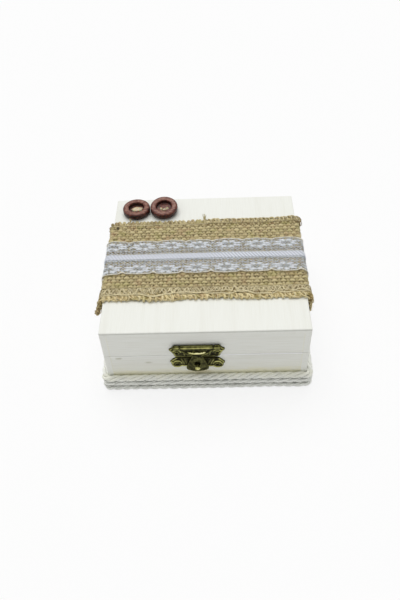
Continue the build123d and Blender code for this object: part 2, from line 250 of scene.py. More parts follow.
def fill(socket, value):
    """Gives a socket a number, a vector, a colour or a link from another node's output."""
    if isinstance(value, bpy.types.NodeSocket):
        socket.id_data.links.new(value, socket)
    elif socket.type == "RGBA":
        socket.default_value = (*value[:3], 1.0)
    else:
        socket.default_value = value


def set_sockets(node, **values):
    """Fills the named sockets of a node; an underscore stands for a space."""
    for name, value in values.items():
        fill(node.inputs[name.replace("_", " ")], value)


def add_node(tree, kind, *inputs, output=None, **named):
    """Adds a node and returns one of its outputs, the first one in use unless another is named.

    The inputs fill the sockets in use in their order. Of the named values, those with a capital are
    for sockets too, and the others are settings."""
    node = tree.nodes.new("ShaderNode" + kind)
    sockets = {name: value for name, value in named.items() if name[0].isupper()}
    for name, value in (NODE_SETTINGS.get(kind, {}) | named).items():
        if name not in sockets:
            setattr(node, name, value)
    in_use = [socket for socket in node.inputs if socket.enabled]
    for socket, value in zip(in_use, inputs):
        fill(socket, value)
    set_sockets(node, **sockets)
    return node.outputs[output] if output else next(socket for socket in node.outputs if socket.enabled)


def new_material(name, **sockets):
    """A material with one Principled shader; its even values go on the shader's own sockets."""
    material = bpy.data.materials.new(name)
    material.use_nodes = True
    shader = material.node_tree.nodes["Principled BSDF"]
    set_sockets(shader, **sockets)
    return material, material.node_tree, shader


def darkened(rgb, share):
    """A colour with its light brought down to a share."""
    return tuple(share * c for c in rgb)


def layered(tree, shade, *layers):
    """A colour with others laid over it in turn, each with its own share."""
    for share, tint in layers:
        shade = add_node(tree, "Mix", share, shade, tint)
    return shade


def patches(tree, place, size, detail=2.0, spread=(0.3, 0.7), reach=(0.0, 1.0)):
    """Soft patches about one size wide, in metres, that go from one value of their reach to the other."""
    cloud = add_node(tree, "TexNoise", place, 1 / size, detail)
    return add_node(tree, "MapRange", cloud, *spread, *reach)


def weighed_sum(tree, start, *parts):
    """A value plus others, each times its own weight."""
    for value, weight in parts:
        start = add_node(tree, "Math", value, weight, start, operation="MULTIPLY_ADD")
    return start


def distance_to(tree, value, target):
    """How far a value is from a target."""
    gap = add_node(tree, "Math", value, target, operation="SUBTRACT")
    return add_node(tree, "Math", gap, operation="ABSOLUTE")


def sanded_basswood(name, grain_axis, contrast, marked=False):
    """Bare basswood, sanded by machine: dull and nearly white, with faint long streaks and fine pores."""
    wood = settings("wood")
    material, tree, shader = new_material(name, Roughness=0.62)
    place = add_node(tree, "TexCoord", output="Object")
    sideways, _, height = add_node(tree, "SeparateXYZ", place).node.outputs
    stretch = [1.0, 1.0, 1.0]
    stretch["XYZ".index(grain_axis)] = 0.035
    along = add_node(tree, "Mapping", place, Scale=stretch)
    # Streaks as wide as the growth rings, and fibres drawn coarser than real ones, so that they show
    streak = patches(tree, along, 2.6 * MM, 4.0, (0.42, 0.72))
    fibre = patches(tree, along, 0.5 * MM, 1.0, (0.35, 0.75))
    cloud = patches(tree, along, 11 * MM, 2.0, (0.35, 0.7))
    streaks = add_node(tree, "Math", streak, cloud, operation="MULTIPLY")
    grain = weighed_sum(tree, 0.0, (fibre, 0.28 * contrast), (streaks, 0.42 * contrast))
    shade = layered(tree, wood.pale, (grain, wood.grain))
    if grain_axis == "X":
        side = add_node(tree, "Math", sideways, operation="ABSOLUTE")
        from_joint = distance_to(tree, side, GLUE_LINE_X)
        glue = add_node(tree, "MapRange", from_joint, 0.1 * MM, 0.5 * MM, 0.2, 0.0)
        shade = layered(tree, shade, (glue, wood.stain))
    # Painted shade: a thin grey line just below the rounding of the lid's top arris
    from_arris = distance_to(tree, height, LID_TOP - 0.7 * MM)
    painted_arris_shade = add_node(tree, "MapRange", from_arris, 0.2 * MM, 0.45 * MM, 0.5, 0.0)
    shade = layered(tree, shade, (painted_arris_shade, darkened(wood.grain, 0.6)))
    if marked:
        shade = front_marks(tree, place, shade)
    pores = add_node(tree, "Bump", Height=fibre, Distance=0.03 * MM, Strength=0.35)
    set_sockets(shader, Base_Color=shade, Normal=pores)
    return material


def front_marks(tree, place, bare):
    """Two flecks, a painted brown patch below the latch, the glue that soaked in above the rope and a
    painted highlight at the seam, on the front board's outer face only.
    """
    wood = settings("wood")
    sideways, depth, height = add_node(tree, "SeparateXYZ", place).node.outputs
    ragged = add_node(tree, "TexNoise", place, 1 / (0.9 * MM), 3.0)
    # Middle along X and Z, half width and half height, all in millimetres, then strength and colour
    marks = (
        (-42.9, 22.8, 1.7, 0.75, 0.5, wood.fleck),
        (-28.5, 19.3, 1.8, 0.7, 0.42, wood.fleck),
        # The last mark is the painted brown patch below the hasp's bell: reflection and shade of the latch
        # on the wood
        (-3.0, 11.2, 5.5, 1.4, 0.75, wood.painted_latch_reflection_shade),
    )
    shade = bare
    for x, z, half_x, half_z, strength, tint in marks:
        scale = (1 / (half_x * MM), 0.0, 1 / (half_z * MM))
        at = (-x / half_x, 0.0, -z / half_z)
        near = add_node(tree, "Mapping", place, Location=at, Scale=scale)
        reach = add_node(tree, "VectorMath", near, operation="LENGTH")
        frayed = add_node(tree, "Math", reach, ragged, operation="ADD")
        mask = add_node(tree, "MapRange", frayed, 0.9, 1.9, strength, 0.0)
        shade = layered(tree, shade, (mask, tint))
    creep = add_node(tree, "Mapping", place, Scale=(0.25, 0.25, 1.0))
    edge = patches(tree, creep, 2.4 * MM, 3.0, (0.25, 0.75), (-1.6 * MM, 1.6 * MM))
    soaked = add_node(tree, "Math", height, edge, operation="ADD")
    faint = add_node(tree, "MapRange", height, 11 * MM, 23 * MM, 0.15, 0.0)
    strong = add_node(tree, "MapRange", soaked, 10.6 * MM, 14.4 * MM, 0.6, 0.0)
    # Painted highlight: a thin bright line along the base's upper arris at the seam, stronger to the right
    at_seam = add_node(tree, "MapRange", height, SEAM - 0.7 * MM, SEAM - 0.5 * MM)
    to_right = add_node(tree, "MapRange", sideways, -10 * MM, 10 * MM, 0.3, 1.0)
    painted_seam_highlight = add_node(tree, "Math", at_seam, to_right, operation="MULTIPLY")
    shade = layered(tree, shade, (faint, wood.stain), (strong, wood.stain), (painted_seam_highlight, (1, 1, 1)))
    outside = add_node(tree, "MapRange", depth, 0.1 * MM - HALF_DEPTH, 0.6 * MM - HALF_DEPTH, 1.0, 0.0)
    return layered(tree, bare, (outside, shade))


def jute(name, light, dark):
    """Spun jute: matt, hairy yarn; each yarn has its own tone and shows loose fibres."""
    burlap = settings("burlap")
    material, tree, shader = new_material(name, Roughness=0.9, Sheen_Weight=0.15, Sheen_Roughness=0.6)
    place = add_node(tree, "TexCoord", output="Object")
    own_tone = add_node(tree, "Attribute", attribute_name="tone", output="Fac")
    # Fibres drawn several times as thick as real jute, so that they show
    fibre = patches(tree, place, 0.28 * MM, 3.0)
    patch = patches(tree, place, 1.3 * MM, reach=(-0.2, 0.2))
    speck = patches(tree, place, 0.6 * MM, 1.0, reach=(-0.2, 0.2))
    spun = weighed_sum(tree, own_tone, (patch, 1.0), (speck, 1.0))
    tone = weighed_sum(tree, 0.0, (fibre, 0.4), (spun, 0.8))
    reddish = patches(tree, place, 4.5 * MM, 3.0, (0.5, 0.75), (0.0, 0.5))
    greenish = patches(tree, place, 5.5 * MM, 1.0, (0.5, 0.72), (0.0, 0.4))
    bark = add_node(tree, "MapRange", tone, -2.0, -1.4, 1.0, 0.0)
    tints = ((reddish, burlap.warm), (greenish, burlap.olive), (bark, darkened(burlap.shade, 0.3)))
    hairs = add_node(tree, "Bump", Height=fibre, Distance=0.12 * MM, Strength=0.8)
    set_sockets(shader, Base_Color=layered(tree, dark, (tone, light), *tints), Normal=hairs)
    return material


def spun_thread(name, light, dark, roughness=0.75):
    """Sewing and lace thread: fine, slightly silky, darker where it lies low."""
    material, tree, shader = new_material(name, Roughness=roughness, Sheen_Weight=0.1)
    place = add_node(tree, "TexCoord", output="Object")
    own_tone = add_node(tree, "Attribute", attribute_name="tone", output="Fac")
    twist = patches(tree, place, 0.3 * MM, reach=(-0.2, 0.2))
    tone = add_node(tree, "Math", own_tone, twist, operation="ADD")
    plies = add_node(tree, "Bump", Height=twist, Distance=0.05 * MM, Strength=0.6)
    set_sockets(shader, Base_Color=layered(tree, dark, (tone, light)), Normal=plies)
    return material


def woven_satin():
    """Polyester satin ribbon: smooth and softly glossy, with twill lines."""
    lace = settings("lace")
    material, tree, shader = new_material("woven_satin", Roughness=0.38, Sheen_Weight=0.2)
    tone = add_node(tree, "Attribute", attribute_name="tone", output="Fac")
    set_sockets(shader, Base_Color=layered(tree, lace.satin_dark, (tone, lace.satin_light)))
    return material


def twisted_cotton():
    """Twisted cotton rope: matt cream, with painted grey shade deep between the strands, and fine fibres."""
    rope = settings("rope")
    material, tree, shader = new_material("twisted_cotton", Roughness=0.85, Sheen_Weight=0.15)
    place = add_node(tree, "TexCoord", output="Object")
    own_tone = add_node(tree, "Attribute", attribute_name="tone", output="Fac")
    _, depth, height = add_node(tree, "SeparateXYZ", place).node.outputs
    fibre = patches(tree, place, 0.35 * MM, 3.0, reach=(-0.18, 0.18))
    patch = patches(tree, place, 6 * MM, reach=(-0.12, 0.12))
    tone = weighed_sum(tree, own_tone, (fibre, 1.0), (patch, 1.0))
    # The upper row is tinted where glue has soaked in, in front only
    risen = weighed_sum(tree, height, (patch, 8 * MM))
    soaked = add_node(tree, "MapRange", risen, 7.5 * MM, 10.5 * MM, 0.0, 0.3)
    in_front = add_node(tree, "MapRange", depth, -HALF_DEPTH, 0.5 * MM - HALF_DEPTH, 1.0, 0.0)
    tint = add_node(tree, "Math", soaked, in_front, operation="MULTIPLY")
    pale = layered(tree, rope.pale, (tint, rope.tinted))
    hairs = add_node(tree, "Bump", Height=fibre, Distance=0.1 * MM, Strength=0.8)
    set_sockets(shader, Base_Color=layered(tree, rope.shade, (tone, pale)), Normal=hairs)
    return material


def antique_bronze():
    """Stamped brass sheet, blackened and rubbed: dark recesses, yellow high places, soft gloss."""
    metal = settings("metal")
    material, tree, shader = new_material("rubbed_antique_bronze", Metallic=1.0)
    place = add_node(tree, "TexCoord", output="Object")
    own_tone = add_node(tree, "Attribute", attribute_name="tone", output="Fac")
    patch = patches(tree, place, 1.6 * MM, 4.0, reach=(-0.16, 0.16))
    tone = add_node(tree, "Math", own_tone, patch, operation="ADD")
    # The tones hold rubbed wear and painted light alike
    steps = ((0.05, 0.5, metal.middle), (0.5, 0.95, metal.wear_and_highlight), (1.0, 1.35, metal.polish_and_highlight))
    layers = [(add_node(tree, "MapRange", tone, low, high), rubbed) for low, high, rubbed in steps]
    gloss = add_node(tree, "MapRange", tone, 0.0, 1.0, 0.55, 0.26)
    grit = add_node(tree, "TexNoise", place, 1 / (0.35 * MM), 2.0)
    dents = add_node(tree, "Bump", Height=grit, Distance=0.03 * MM, Strength=0.5)
    set_sockets(shader, Base_Color=layered(tree, metal.dark, *layers), Roughness=gloss, Normal=dents)
    return material


def lacquered_wood():
    """Turned wood under a glossy red-brown lacquer, with dark veins along the grain."""
    button = settings("button")
    material, tree, shader = new_material(
        "lacquered_wood", Roughness=0.42, Coat_Weight=0.12, Coat_Roughness=0.12, Specular_IOR_Level=0.25
    )
    place = add_node(tree, "TexCoord", output="Object")
    own_tone = add_node(tree, "Attribute", attribute_name="tone", output="Fac")
    along = add_node(tree, "Mapping", place, Scale=(0.45, 1.0, 1.0), Rotation=(0, 0, 0.5))
    vein = patches(tree, along, 0.9 * MM, 4.0, reach=(-0.36, 0.3))
    tone = add_node(tree, "Math", own_tone, vein, operation="ADD")
    lower = add_node(tree, "MapRange", tone, 0.0, 0.5)
    upper = add_node(tree, "MapRange", tone, 0.5, 1.0)
    # The shape's tones darken the sides and the dish's inner wall and lighten the rim's top: painted shade
    # and highlight, besides rubbed wear
    shade = layered(tree, button.vein, (lower, button.lacquer), (upper, button.wear_and_highlight))
    grain = add_node(tree, "Bump", Height=vein, Distance=0.05 * MM, Strength=0.3)
    set_sockets(shader, Base_Color=shade, Normal=grain)
    return material


def set_hot_glue():
    """Hot glue, set: cloudy, waxy and a little translucent."""
    glue = settings("button").glue
    material, tree, shader = new_material(
        "set_hot_glue", Roughness=0.35, Subsurface_Weight=0.35, Subsurface_Scale=1.2 * MM
    )
    place = add_node(tree, "TexCoord", output="Object")
    cloud = patches(tree, place, 1.1 * MM)
    set_sockets(shader, Base_Color=layered(tree, glue, (cloud, darkened(glue, 0.72))))
    return material


def painted_board():
    """Matt white floor; the camera sees it nearly white, with the object's soft shadow."""
    floor = settings("stage").floor
    material, tree, shader = new_material("painted_board", Roughness=0.9)
    place = add_node(tree, "TexCoord", output="Object")
    mottle = patches(tree, place, 60 * MM)
    set_sockets(shader, Base_Color=layered(tree, floor, (mottle, darkened(floor, 0.995))))
    glow = add_node(tree, "Emission", (1, 1, 1), 1.0)
    seen = add_node(tree, "LightPath", output="Is Camera Ray")
    share = add_node(tree, "Math", seen, 0.8, operation="MULTIPLY")
    both = add_node(tree, "MixShader", share, shader.outputs[0], glow)
    set_sockets(tree.nodes["Material Output"], Surface=both)
    return material


# Mesh helpers. A part of a mesh is its points, its face arrays and the tone of each point.


def new_object(name, data):
    """A new object, linked to the scene."""
    made = bpy.data.objects.new(name, data)
    bpy.context.scene.collection.objects.link(made)
    return made


def with_modifiers(thing):
    """An object's mesh as its modifiers leave it."""
    depsgraph = bpy.context.evaluated_depsgraph_get()
    return bpy.data.meshes.new_from_object(thing.evaluated_get(depsgraph))


def mesh_object(name, parts, material, body, soften=None):
    """One piece from several parts, riding on a body."""
    points, faces, tones, start = [], [], [], 0
    for part_points, part_faces, part_tones in parts:
        points.append(part_points)
        faces += [np.asarray(group) + start for group in part_faces]
        tones.append(np.broadcast_to(part_tones, len(part_points)))
        start += len(part_points)
    points = np.concatenate(points)
    mesh = bpy.data.meshes.new(name)
    corners = np.concatenate([group.ravel() for group in faces])
    totals = np.concatenate([np.full(len(group), group.shape[1]) for group in faces])
    mesh.vertices.add(len(points))
    mesh.vertices.foreach_set("co", points.astype(np.float32).ravel())
    mesh.loops.add(len(corners))
    mesh.loops.foreach_set("vertex_index", corners.astype(np.int32))
    mesh.polygons.add(len(totals))
    mesh.polygons.foreach_set("loop_start", (np.cumsum(totals) - totals).astype(np.int32))
    mesh.polygons.foreach_set("loop_total", totals.astype(np.int32))
    mesh.update(calc_edges=True)
    if mesh.validate():
        raise RuntimeError(name + " has faces that are not sound")
    mesh.shade_smooth()
    if soften is not None:
        mesh.set_sharp_from_angle(angle=soften)
    tone = mesh.attributes.new("tone", "FLOAT", "POINT")
    tone.data.foreach_set("value", np.concatenate(tones).astype(np.float32))
    mesh.materials.append(material)
    piece = new_object(name, mesh)
    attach(piece, body)
    return piece


def grouped(faces):
    """Faces of mixed corner counts as one array for each count."""
    counts = sorted({len(face) for face in faces})
    return [np.array([face for face in faces if len(face) == count]) for count in counts]


def moved(part, place):
    """A part with its points put through a function of three columns."""
    points, faces, tones = part
    return place(points[:, 0], points[:, 1], points[:, 2]), faces, tones


def turned(part, matrix):
    """A part with its points put through a matrix."""
    points, faces, tones = part
    turn = np.array(matrix)
    return points @ turn[:3, :3].T + turn[:3, 3], faces, tones


def tubes(paths, up, half_width, half_height, sides, tones=0.5, lobes=None):
    """Tubes along paths of one point count each; up points to where a tube's height is measured."""
    paths = np.asarray(paths, float)
    count, steps = paths.shape[:2]
    tangent = np.gradient(paths, axis=1)
    tangent /= np.linalg.norm(tangent, axis=-1, keepdims=True)
    across = np.cross(tangent, up)
    across /= np.linalg.norm(across, axis=-1, keepdims=True)
    top = np.cross(across, tangent)
    angle = 2 * pi * np.arange(sides) / sides
    wide = np.broadcast_to(half_width, (count, steps))[..., None] * np.cos(angle)
    high = np.broadcast_to(half_height, (count, steps))[..., None] * np.sin(angle)
    if lobes is not None:
        wide = wide * lobes(angle)
        high = high * lobes(angle)
    rings = paths[:, :, None] + across[:, :, None] * wide[..., None] + top[:, :, None] * high[..., None]
    index = np.arange(count * steps * sides).reshape(count, steps, sides)
    near, far = index[:, :-1], index[:, 1:]
    quads = np.stack([near, far, np.roll(far, -1, 2), np.roll(near, -1, 2)], -1).reshape(-1, 4)
    caps = np.concatenate([index[:, 0], index[:, -1, ::-1]])
    tones = np.repeat(np.broadcast_to(tones, (count, steps)).ravel(), sides)
    return rings.reshape(-1, 3), [quads, caps], tones


def lathe(profile, segments, tones=0.5):
    """Turned shape about Z from (radius, height) points; a radius of zero closes it."""
    points, rings, start = [], [], 0
    angle = 2 * pi * np.arange(segments) / segments
    for radius, height in profile:
        if radius == 0:
            points.append([[0, 0, height]])
            rings.append(np.full(segments, start))
            start += 1
        else:
            circle = (radius * np.cos(angle), radius * np.sin(angle), np.full(segments, height))
            points.append(np.stack(circle, -1))
            rings.append(start + np.arange(segments))
            start += segments
    faces = []
    for (low, high), low_ring, high_ring in zip(zip(profile, profile[1:]), rings, rings[1:]):
        after_low, after_high = np.roll(low_ring, -1), np.roll(high_ring, -1)
        if low[0] == 0:
            faces.append(np.stack([low_ring, after_high, high_ring], -1))
        elif high[0] == 0:
            faces.append(np.stack([low_ring, after_low, high_ring], -1))
        else:
            faces.append(np.stack([low_ring, after_low, after_high, high_ring], -1))
    return np.concatenate(points), faces, tones


def closed_lathe(profile, segments, tones=0.5):
    """Turned ring about Z whose profile comes back to its first point."""
    points, faces, tones = lathe(profile, segments, tones)
    last = (len(profile) - 1) * segments + np.arange(segments)
    first = np.arange(segments)
    faces.append(np.stack([last, np.roll(last, -1), np.roll(first, -1), first], -1))
    return points, faces, tones


def cut_sheet(us, vs, depth):
    """Cuts a sheet from a grid where depth is above zero: its points, faces and rim edges."""
    inside = depth > 0
    points, index, faces, rim = [], {}, [], []

    def corner(i, j):
        if (i, j) not in index:
            index[i, j] = len(points)
            points.append((us[i], vs[j]))
        return index[i, j]

    def crossing(a, b):
        key = (min(a, b), max(a, b))
        if key not in index:
            (i, j), (k, m) = key
            share = np.clip(depth[i, j] / (depth[i, j] - depth[k, m]), 0.06, 0.94)
            index[key] = len(points)
            points.append((us[i] + share * (us[k] - us[i]), vs[j] + share * (vs[m] - vs[j])))
        return index[key]

    count = inside[:-1, :-1].astype(int) + inside[1:, :-1] + inside[1:, 1:] + inside[:-1, 1:]
    for i, j in np.argwhere(count > 0):
        ring = [(i, j), (i + 1, j), (i + 1, j + 1), (i, j + 1)]
        face, cuts = [], []
        for a, b in zip(ring, ring[1:] + ring[:1]):
            if inside[a]:
                face.append(corner(*a))
            if inside[a] != inside[b]:
                face.append(crossing(a, b))
                cuts.append((len(face) - 1, inside[a]))
        faces.append(tuple(face))
        rim += [(face[at], face[(at + 1) % len(face)]) for at, leaves in cuts if leaves]
    return np.array(points), faces, rim


def arc_points(start, middle, end, count=10):
    """Points on the arc through three points, without the last."""
    (ax, ay), (bx, by), (cx, cy) = start, middle, end
    twice = 2 * (ax * (by - cy) + bx * (cy - ay) + cx * (ay - by))
    a2, b2, c2 = ax * ax + ay * ay, bx * bx + by * by, cx * cx + cy * cy
    ux = (a2 * (by - cy) + b2 * (cy - ay) + c2 * (ay - by)) / twice
    uy = (a2 * (cx - bx) + b2 * (ax - cx) + c2 * (bx - ax)) / twice
    first = np.arctan2(ay - uy, ax - ux)
    mid = (np.arctan2(by - uy, bx - ux) - first) % (2 * pi)
    sweep = (np.arctan2(cy - uy, cx - ux) - first) % (2 * pi)
    if mid > sweep:
        sweep -= 2 * pi
    radius = np.hypot(ax - ux, ay - uy)
    angle = first + sweep * np.arange(count) / count
    return [(ux + radius * cos(t), uy + radius * sin(t)) for t in angle]


def mirrored_outline(half):
    """Closed outline from the points of its right half, top or bottom middle first."""
    left = [(-x, y) for x, y in reversed(half) if x > 1e-9]
    return np.array(half + left)


def edge_distance(outline, u, v):
    """Distance of points to a closed outline, above zero inside it."""
    start, end = outline, np.roll(outline, -1, axis=0)
    run = end - start
    p = np.stack([u, v], -1)[..., None, :]
    share = np.clip(((p - start) * run).sum(-1) / (run**2).sum(-1), 0, 1)
    gap = np.linalg.norm(p - start - share[..., None] * run, axis=-1).min(-1)
    above = (start[:, 1] > v[..., None]) != (end[:, 1] > v[..., None])
    rise = np.where(run[:, 1] == 0, 1, run[:, 1])
    right = u[..., None] < start[:, 0] + (v[..., None] - start[:, 1]) / rise * run[:, 0]
    inside = (above & right).sum(-1) % 2 == 1
    return np.where(inside, gap, -gap)


def eased(share):
    """A share from 0 to 1, eased at both ends."""
    return share * share * (3 - 2 * share)


def eased_noise(rng, rows, count, knots):
    """Random curves between -1 and 1, one for each row, eased from knot to knot."""
    values = rng.uniform(-1, 1, (rows, knots + 1))
    at = np.linspace(0, knots - 1e-6, count)
    low = at.astype(int)
    share = eased(at - low)
    return values[:, low] * (1 - share) + values[:, low + 1] * share


def wander(rng, count, knots):
    """One random curve between -1 and 1, eased from knot to knot."""
    return eased_noise(rng, 1, count, knots)[0]


def ridge(distance, width):
    """Rounded ridge of height one at distance zero."""
    return np.exp(-((distance / width) ** 2))


def finished_copy(node, material, weights, width, segments, tone=0.5):
    """Copy of a solid's mesh with its sharp edges rounded, which stands for that solid."""
    seam_angle, sharp_angle, flat_normal = radians(1), radians(35), 0.9999
    source = frame["nodes"][node]
    work = bmesh.new()
    work.from_mesh(source.data)
    bmesh.ops.remove_doubles(work, verts=work.verts, dist=0.002 * MM)
    bmesh.ops.dissolve_limit(work, angle_limit=seam_angle, verts=work.verts, edges=work.edges)
    layer = work.edges.layers.float.new("bevel_weight_edge")
    for edge in work.edges:
        if edge.is_manifold and edge.calc_face_angle() > sharp_angle:
            edge[layer] = weights(edge)
    mesh = bpy.data.meshes.new(node + "_finish")
    work.to_mesh(mesh)
    work.free()
    rough = new_object("rough", mesh)
    bevel = rough.modifiers.new("bevel", "BEVEL")
    bevel.limit_method = "WEIGHT"
    bevel.width = width
    bevel.segments = segments
    bevel.use_clamp_overlap = True
    done = with_modifiers(rough)
    bpy.data.objects.remove(rough)
    bpy.data.meshes.remove(mesh)
    done.name = node + "_finish"
    done.materials.clear()
    done.materials.append(material)
    rounded = [max(abs(c) for c in face.normal) < flat_normal for face in done.polygons]
    done.polygons.foreach_set("use_smooth", rounded)
    for name in ("bevel_weight_edge", "tone"):
        if name in done.attributes:
            done.attributes.remove(done.attributes[name])
    values = done.attributes.new("tone", "FLOAT", "POINT")
    values.data.foreach_set("value", np.full(len(done.vertices), tone, np.float32))
    piece = new_object(node + "_finish", done)
    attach(piece, body_of(node))
    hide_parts(node)


def body_of(node):
    """Name of the body that a node belongs to."""
    bodies = frame["record"]["behaviour"]["bodies"]
    return next(body for body, nodes in bodies.items() if node in nodes)


# Boards


def arris_weight(edge):
    """Share of the outer rounding that a board's edge gets: less at the seam, least at a joint."""
    middle = (edge.verts[0].co + edge.verts[1].co) / 2
    near, short = 0.02 * MM, 2.2 * MM
    outside = [
        abs(abs(middle.x) - HALF_WIDTH) < near,
        abs(abs(middle.y) - HALF_DEPTH) < near,
        abs(middle.z - LID_TOP) < near or middle.z < near,
    ]
    if edge.calc_length() < short:
        return 0.0
    if sum(outside) >= 2:
        return 1.0
    if abs(middle.z - SEAM) < near:
        below = min(edge.link_faces, key=lambda face: face.calc_center_median().z)
        return 1.0 if below.calc_center_median().z < SEAM - near else 0.7
    return 0.12


class KEEPSAKE_OT_boards(bpy.types.Operator):
    """Finish the ten boards and panels as sanded wood with softened edges"""

    bl_idname = "keepsake.boards"
    bl_label = "Boards"

    def execute(self, context):
        across = sanded_basswood("basswood_grain_across", "X", 1.0)
        along = sanded_basswood("basswood_grain_along", "Y", 0.55)
        marked = sanded_basswood("basswood_front_with_marks", "X", 1.0, marked=True)
        arris = context.scene.keepsake_wood.arris
        boards = [node for node in frame["nodes"] if node.endswith(("_wall", "_panel"))]
        for node in sorted(boards):
            material = across if node.endswith(("front_wall", "back_wall")) else along
            if node == "base_front_wall":
                material = marked
            finished_copy(node, material, arris_weight, arris, 3)
        return {"FINISHED"}


# Rope


def rope_route(rope):
    """Middle of the rope as points, and the distance along it to each."""
    radius = rope.strand + rope.helix
    out_x = HALF_WIDTH + radius
    out_y = HALF_DEPTH + radius
    corner = 2.2 * MM
    first_z = radius + 0.1 * MM
    climb, end_gap, step = 20 * MM, 12 * MM, 0.62 * MM
    turn = np.linspace(0, pi / 2, 13)
    plan = [(0, out_y)]
    for x_side, y_side, start in ((-1, 1, pi / 2), (-1, -1, pi), (1, -1, 1.5 * pi), (1, 1, 0)):
        centre = (x_side * (out_x - corner), y_side * (out_y - corner))
        plan += [(centre[0] + corner * cos(start + t), centre[1] + corner * sin(start + t)) for t in turn]
    plan.append((0, out_y))
    plan = np.array(plan)
    reach = np.concatenate([[0], np.cumsum(np.linalg.norm(np.diff(plan, axis=0), axis=1))])
    around = reach[-1]
    total = rope.turns * around - 2 * end_gap
    along = np.linspace(end_gap, end_gap + total, int(total / step))
    x = np.interp(along % around, reach, plan[:, 0])
    y = np.interp(along % around, reach, plan[:, 1])
    row = np.round(along / around)
    share = np.clip((along - row * around) / climb + 0.5, 0, 1)
    z = first_z + rope.pitch * (row - 1 + eased(share))
    return np.stack([x, y, z], -1), along


def rope_strands(rope, rng):
    """Three strands laid round each other along the rope's route."""
    route, along = rope_route(rope)
    count, sides = len(along), 12
    reach = rope.helix + rope.strand
    tangent = np.gradient(route, axis=0)
    tangent /= np.linalg.norm(tangent, axis=1, keepdims=True)
    across = np.cross(tangent, (0, 0, 1.0))
    across /= np.linalg.norm(across, axis=1, keepdims=True)
    top = np.cross(across, tangent)
    slack = eased_noise(rng, 2, count, int(along[-1] / (16 * MM)))
    route = route + across * (0.12 * MM * slack[0])[:, None] + top * (0.06 * MM * slack[1])[:, None]
    drift = 0.5 * wander(rng, count, int(along[-1] / (23 * MM)))
    parts = []
    ply = 2 * pi * along / (4.2 * MM)

    def lobes(angle):
        return 1 + 0.055 * np.cos(4 * angle[None, None] + ply[None, :, None])

    for strand in range(3):
        angle = 2 * pi * along / rope.lay + drift + 2 * pi * strand / 3
        away = across * np.cos(angle)[:, None] + top * np.sin(angle)[:, None]
        path = route + away * rope.helix
        puff = 1 + 0.05 * wander(rng, count, int(along[-1] / (4 * MM)))
        thick = rope.strand * puff
        points, faces, tones = tubes(path[None], away[None], thick, thick, sides, 0.5, lobes)
        # Painted light and shade: palest on the rope's outside, dark between the strands, and dark between
        # the rows, below every row and above each row that has another on it
        middle = np.repeat(route, sides, axis=0)
        away_share = np.linalg.norm(points - middle, axis=1) / reach
        rise = (points[:, 2] - middle[:, 2]) / reach
        covered = middle[:, 2] < 2 * rope.pitch
        painted_row_shade = np.where(covered, np.abs(rise), -rise)
        tones = np.clip((away_share - 0.36) / 0.34, 0, 1) - 1.7 * np.clip(painted_row_shade, 0, 1) ** 6
        parts.append((points, faces, tones))
    return parts, route, across, top


def rope_whipping(route, across, top, at, radius):
    """Close turns of thread that bind one end of the rope."""
    turns, thread = 7, 0.2 * MM
    steps = turns * 14
    run = np.linspace(at[0], at[1], steps)
    place = np.stack([np.interp(run, np.arange(len(route)), route[:, i]) for i in range(3)], -1)
    angle = np.linspace(0, turns * 2 * pi, steps)[:, None]
    middle = int(sum(at) / 2)
    away = across[middle] * np.cos(angle) + top[middle] * np.sin(angle)
    path = place + away * radius
    return tubes(path[None], away[None], thread, thread, 6, 0.6)


class KEEPSAKE_OT_rope(bpy.types.Operator):
    """Lay the twisted cotton rope round the base"""

    bl_idname = "keepsake.rope"
    bl_label = "Rope"

    def execute(self, context):
        rope = context.scene.keepsake_rope
        rng = np.random.default_rng(SEED)
        parts, route, across, top = rope_strands(rope, rng)
        cotton = twisted_cotton()
        piece = mesh_object("cotton_rope_strands", parts, cotton, "base")
        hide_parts("rope_trim")
        last = len(route) - 1
        bound = rope.helix + rope.strand
        ends = [rope_whipping(route, across, top, at, bound) for at in ((1, 6), (last - 6, last - 1))]
        mesh_object("rope_end_whipping", ends, cotton, "base")
        return {"FINISHED"}


# Cloth over the lid. A place on it is s along the band, v across it and h above its middle.

# Heights of the layers above the middle of the cloth, and half widths of the bands
# The lowest layer is a dark sheet of painted shade, seen in the gaps between the yarns
SHADE_SHEET_HEIGHT = -0.12 * MM
LACE_HEIGHT = 1.02 * MM
CORD_HEIGHT = 1.25 * MM
SATIN_HEIGHT = 1.4 * MM
SHADE_SHEET_HALF = 28.6 * MM
LACE_HALF = 13 * MM
SATIN_HALF = 1.8 * MM


def flare_of(s, v):
    """How far the flaps stand out at a place: most at the left front corner."""
    burlap = settings("burlap")
    forward = np.clip((1 - v / HALF_BAND) / 2, 0, 1)
    left = burlap.left_flare_back + (burlap.left_flare_front - burlap.left_flare_back) * forward**2.6
    swell = ridge(v - 17 * MM, 9 * MM) + 1.3 * ridge(v + 31 * MM, 6 * MM)
    right = burlap.right_flare + radians(4) * swell
    return np.where(s < 0, left, right)


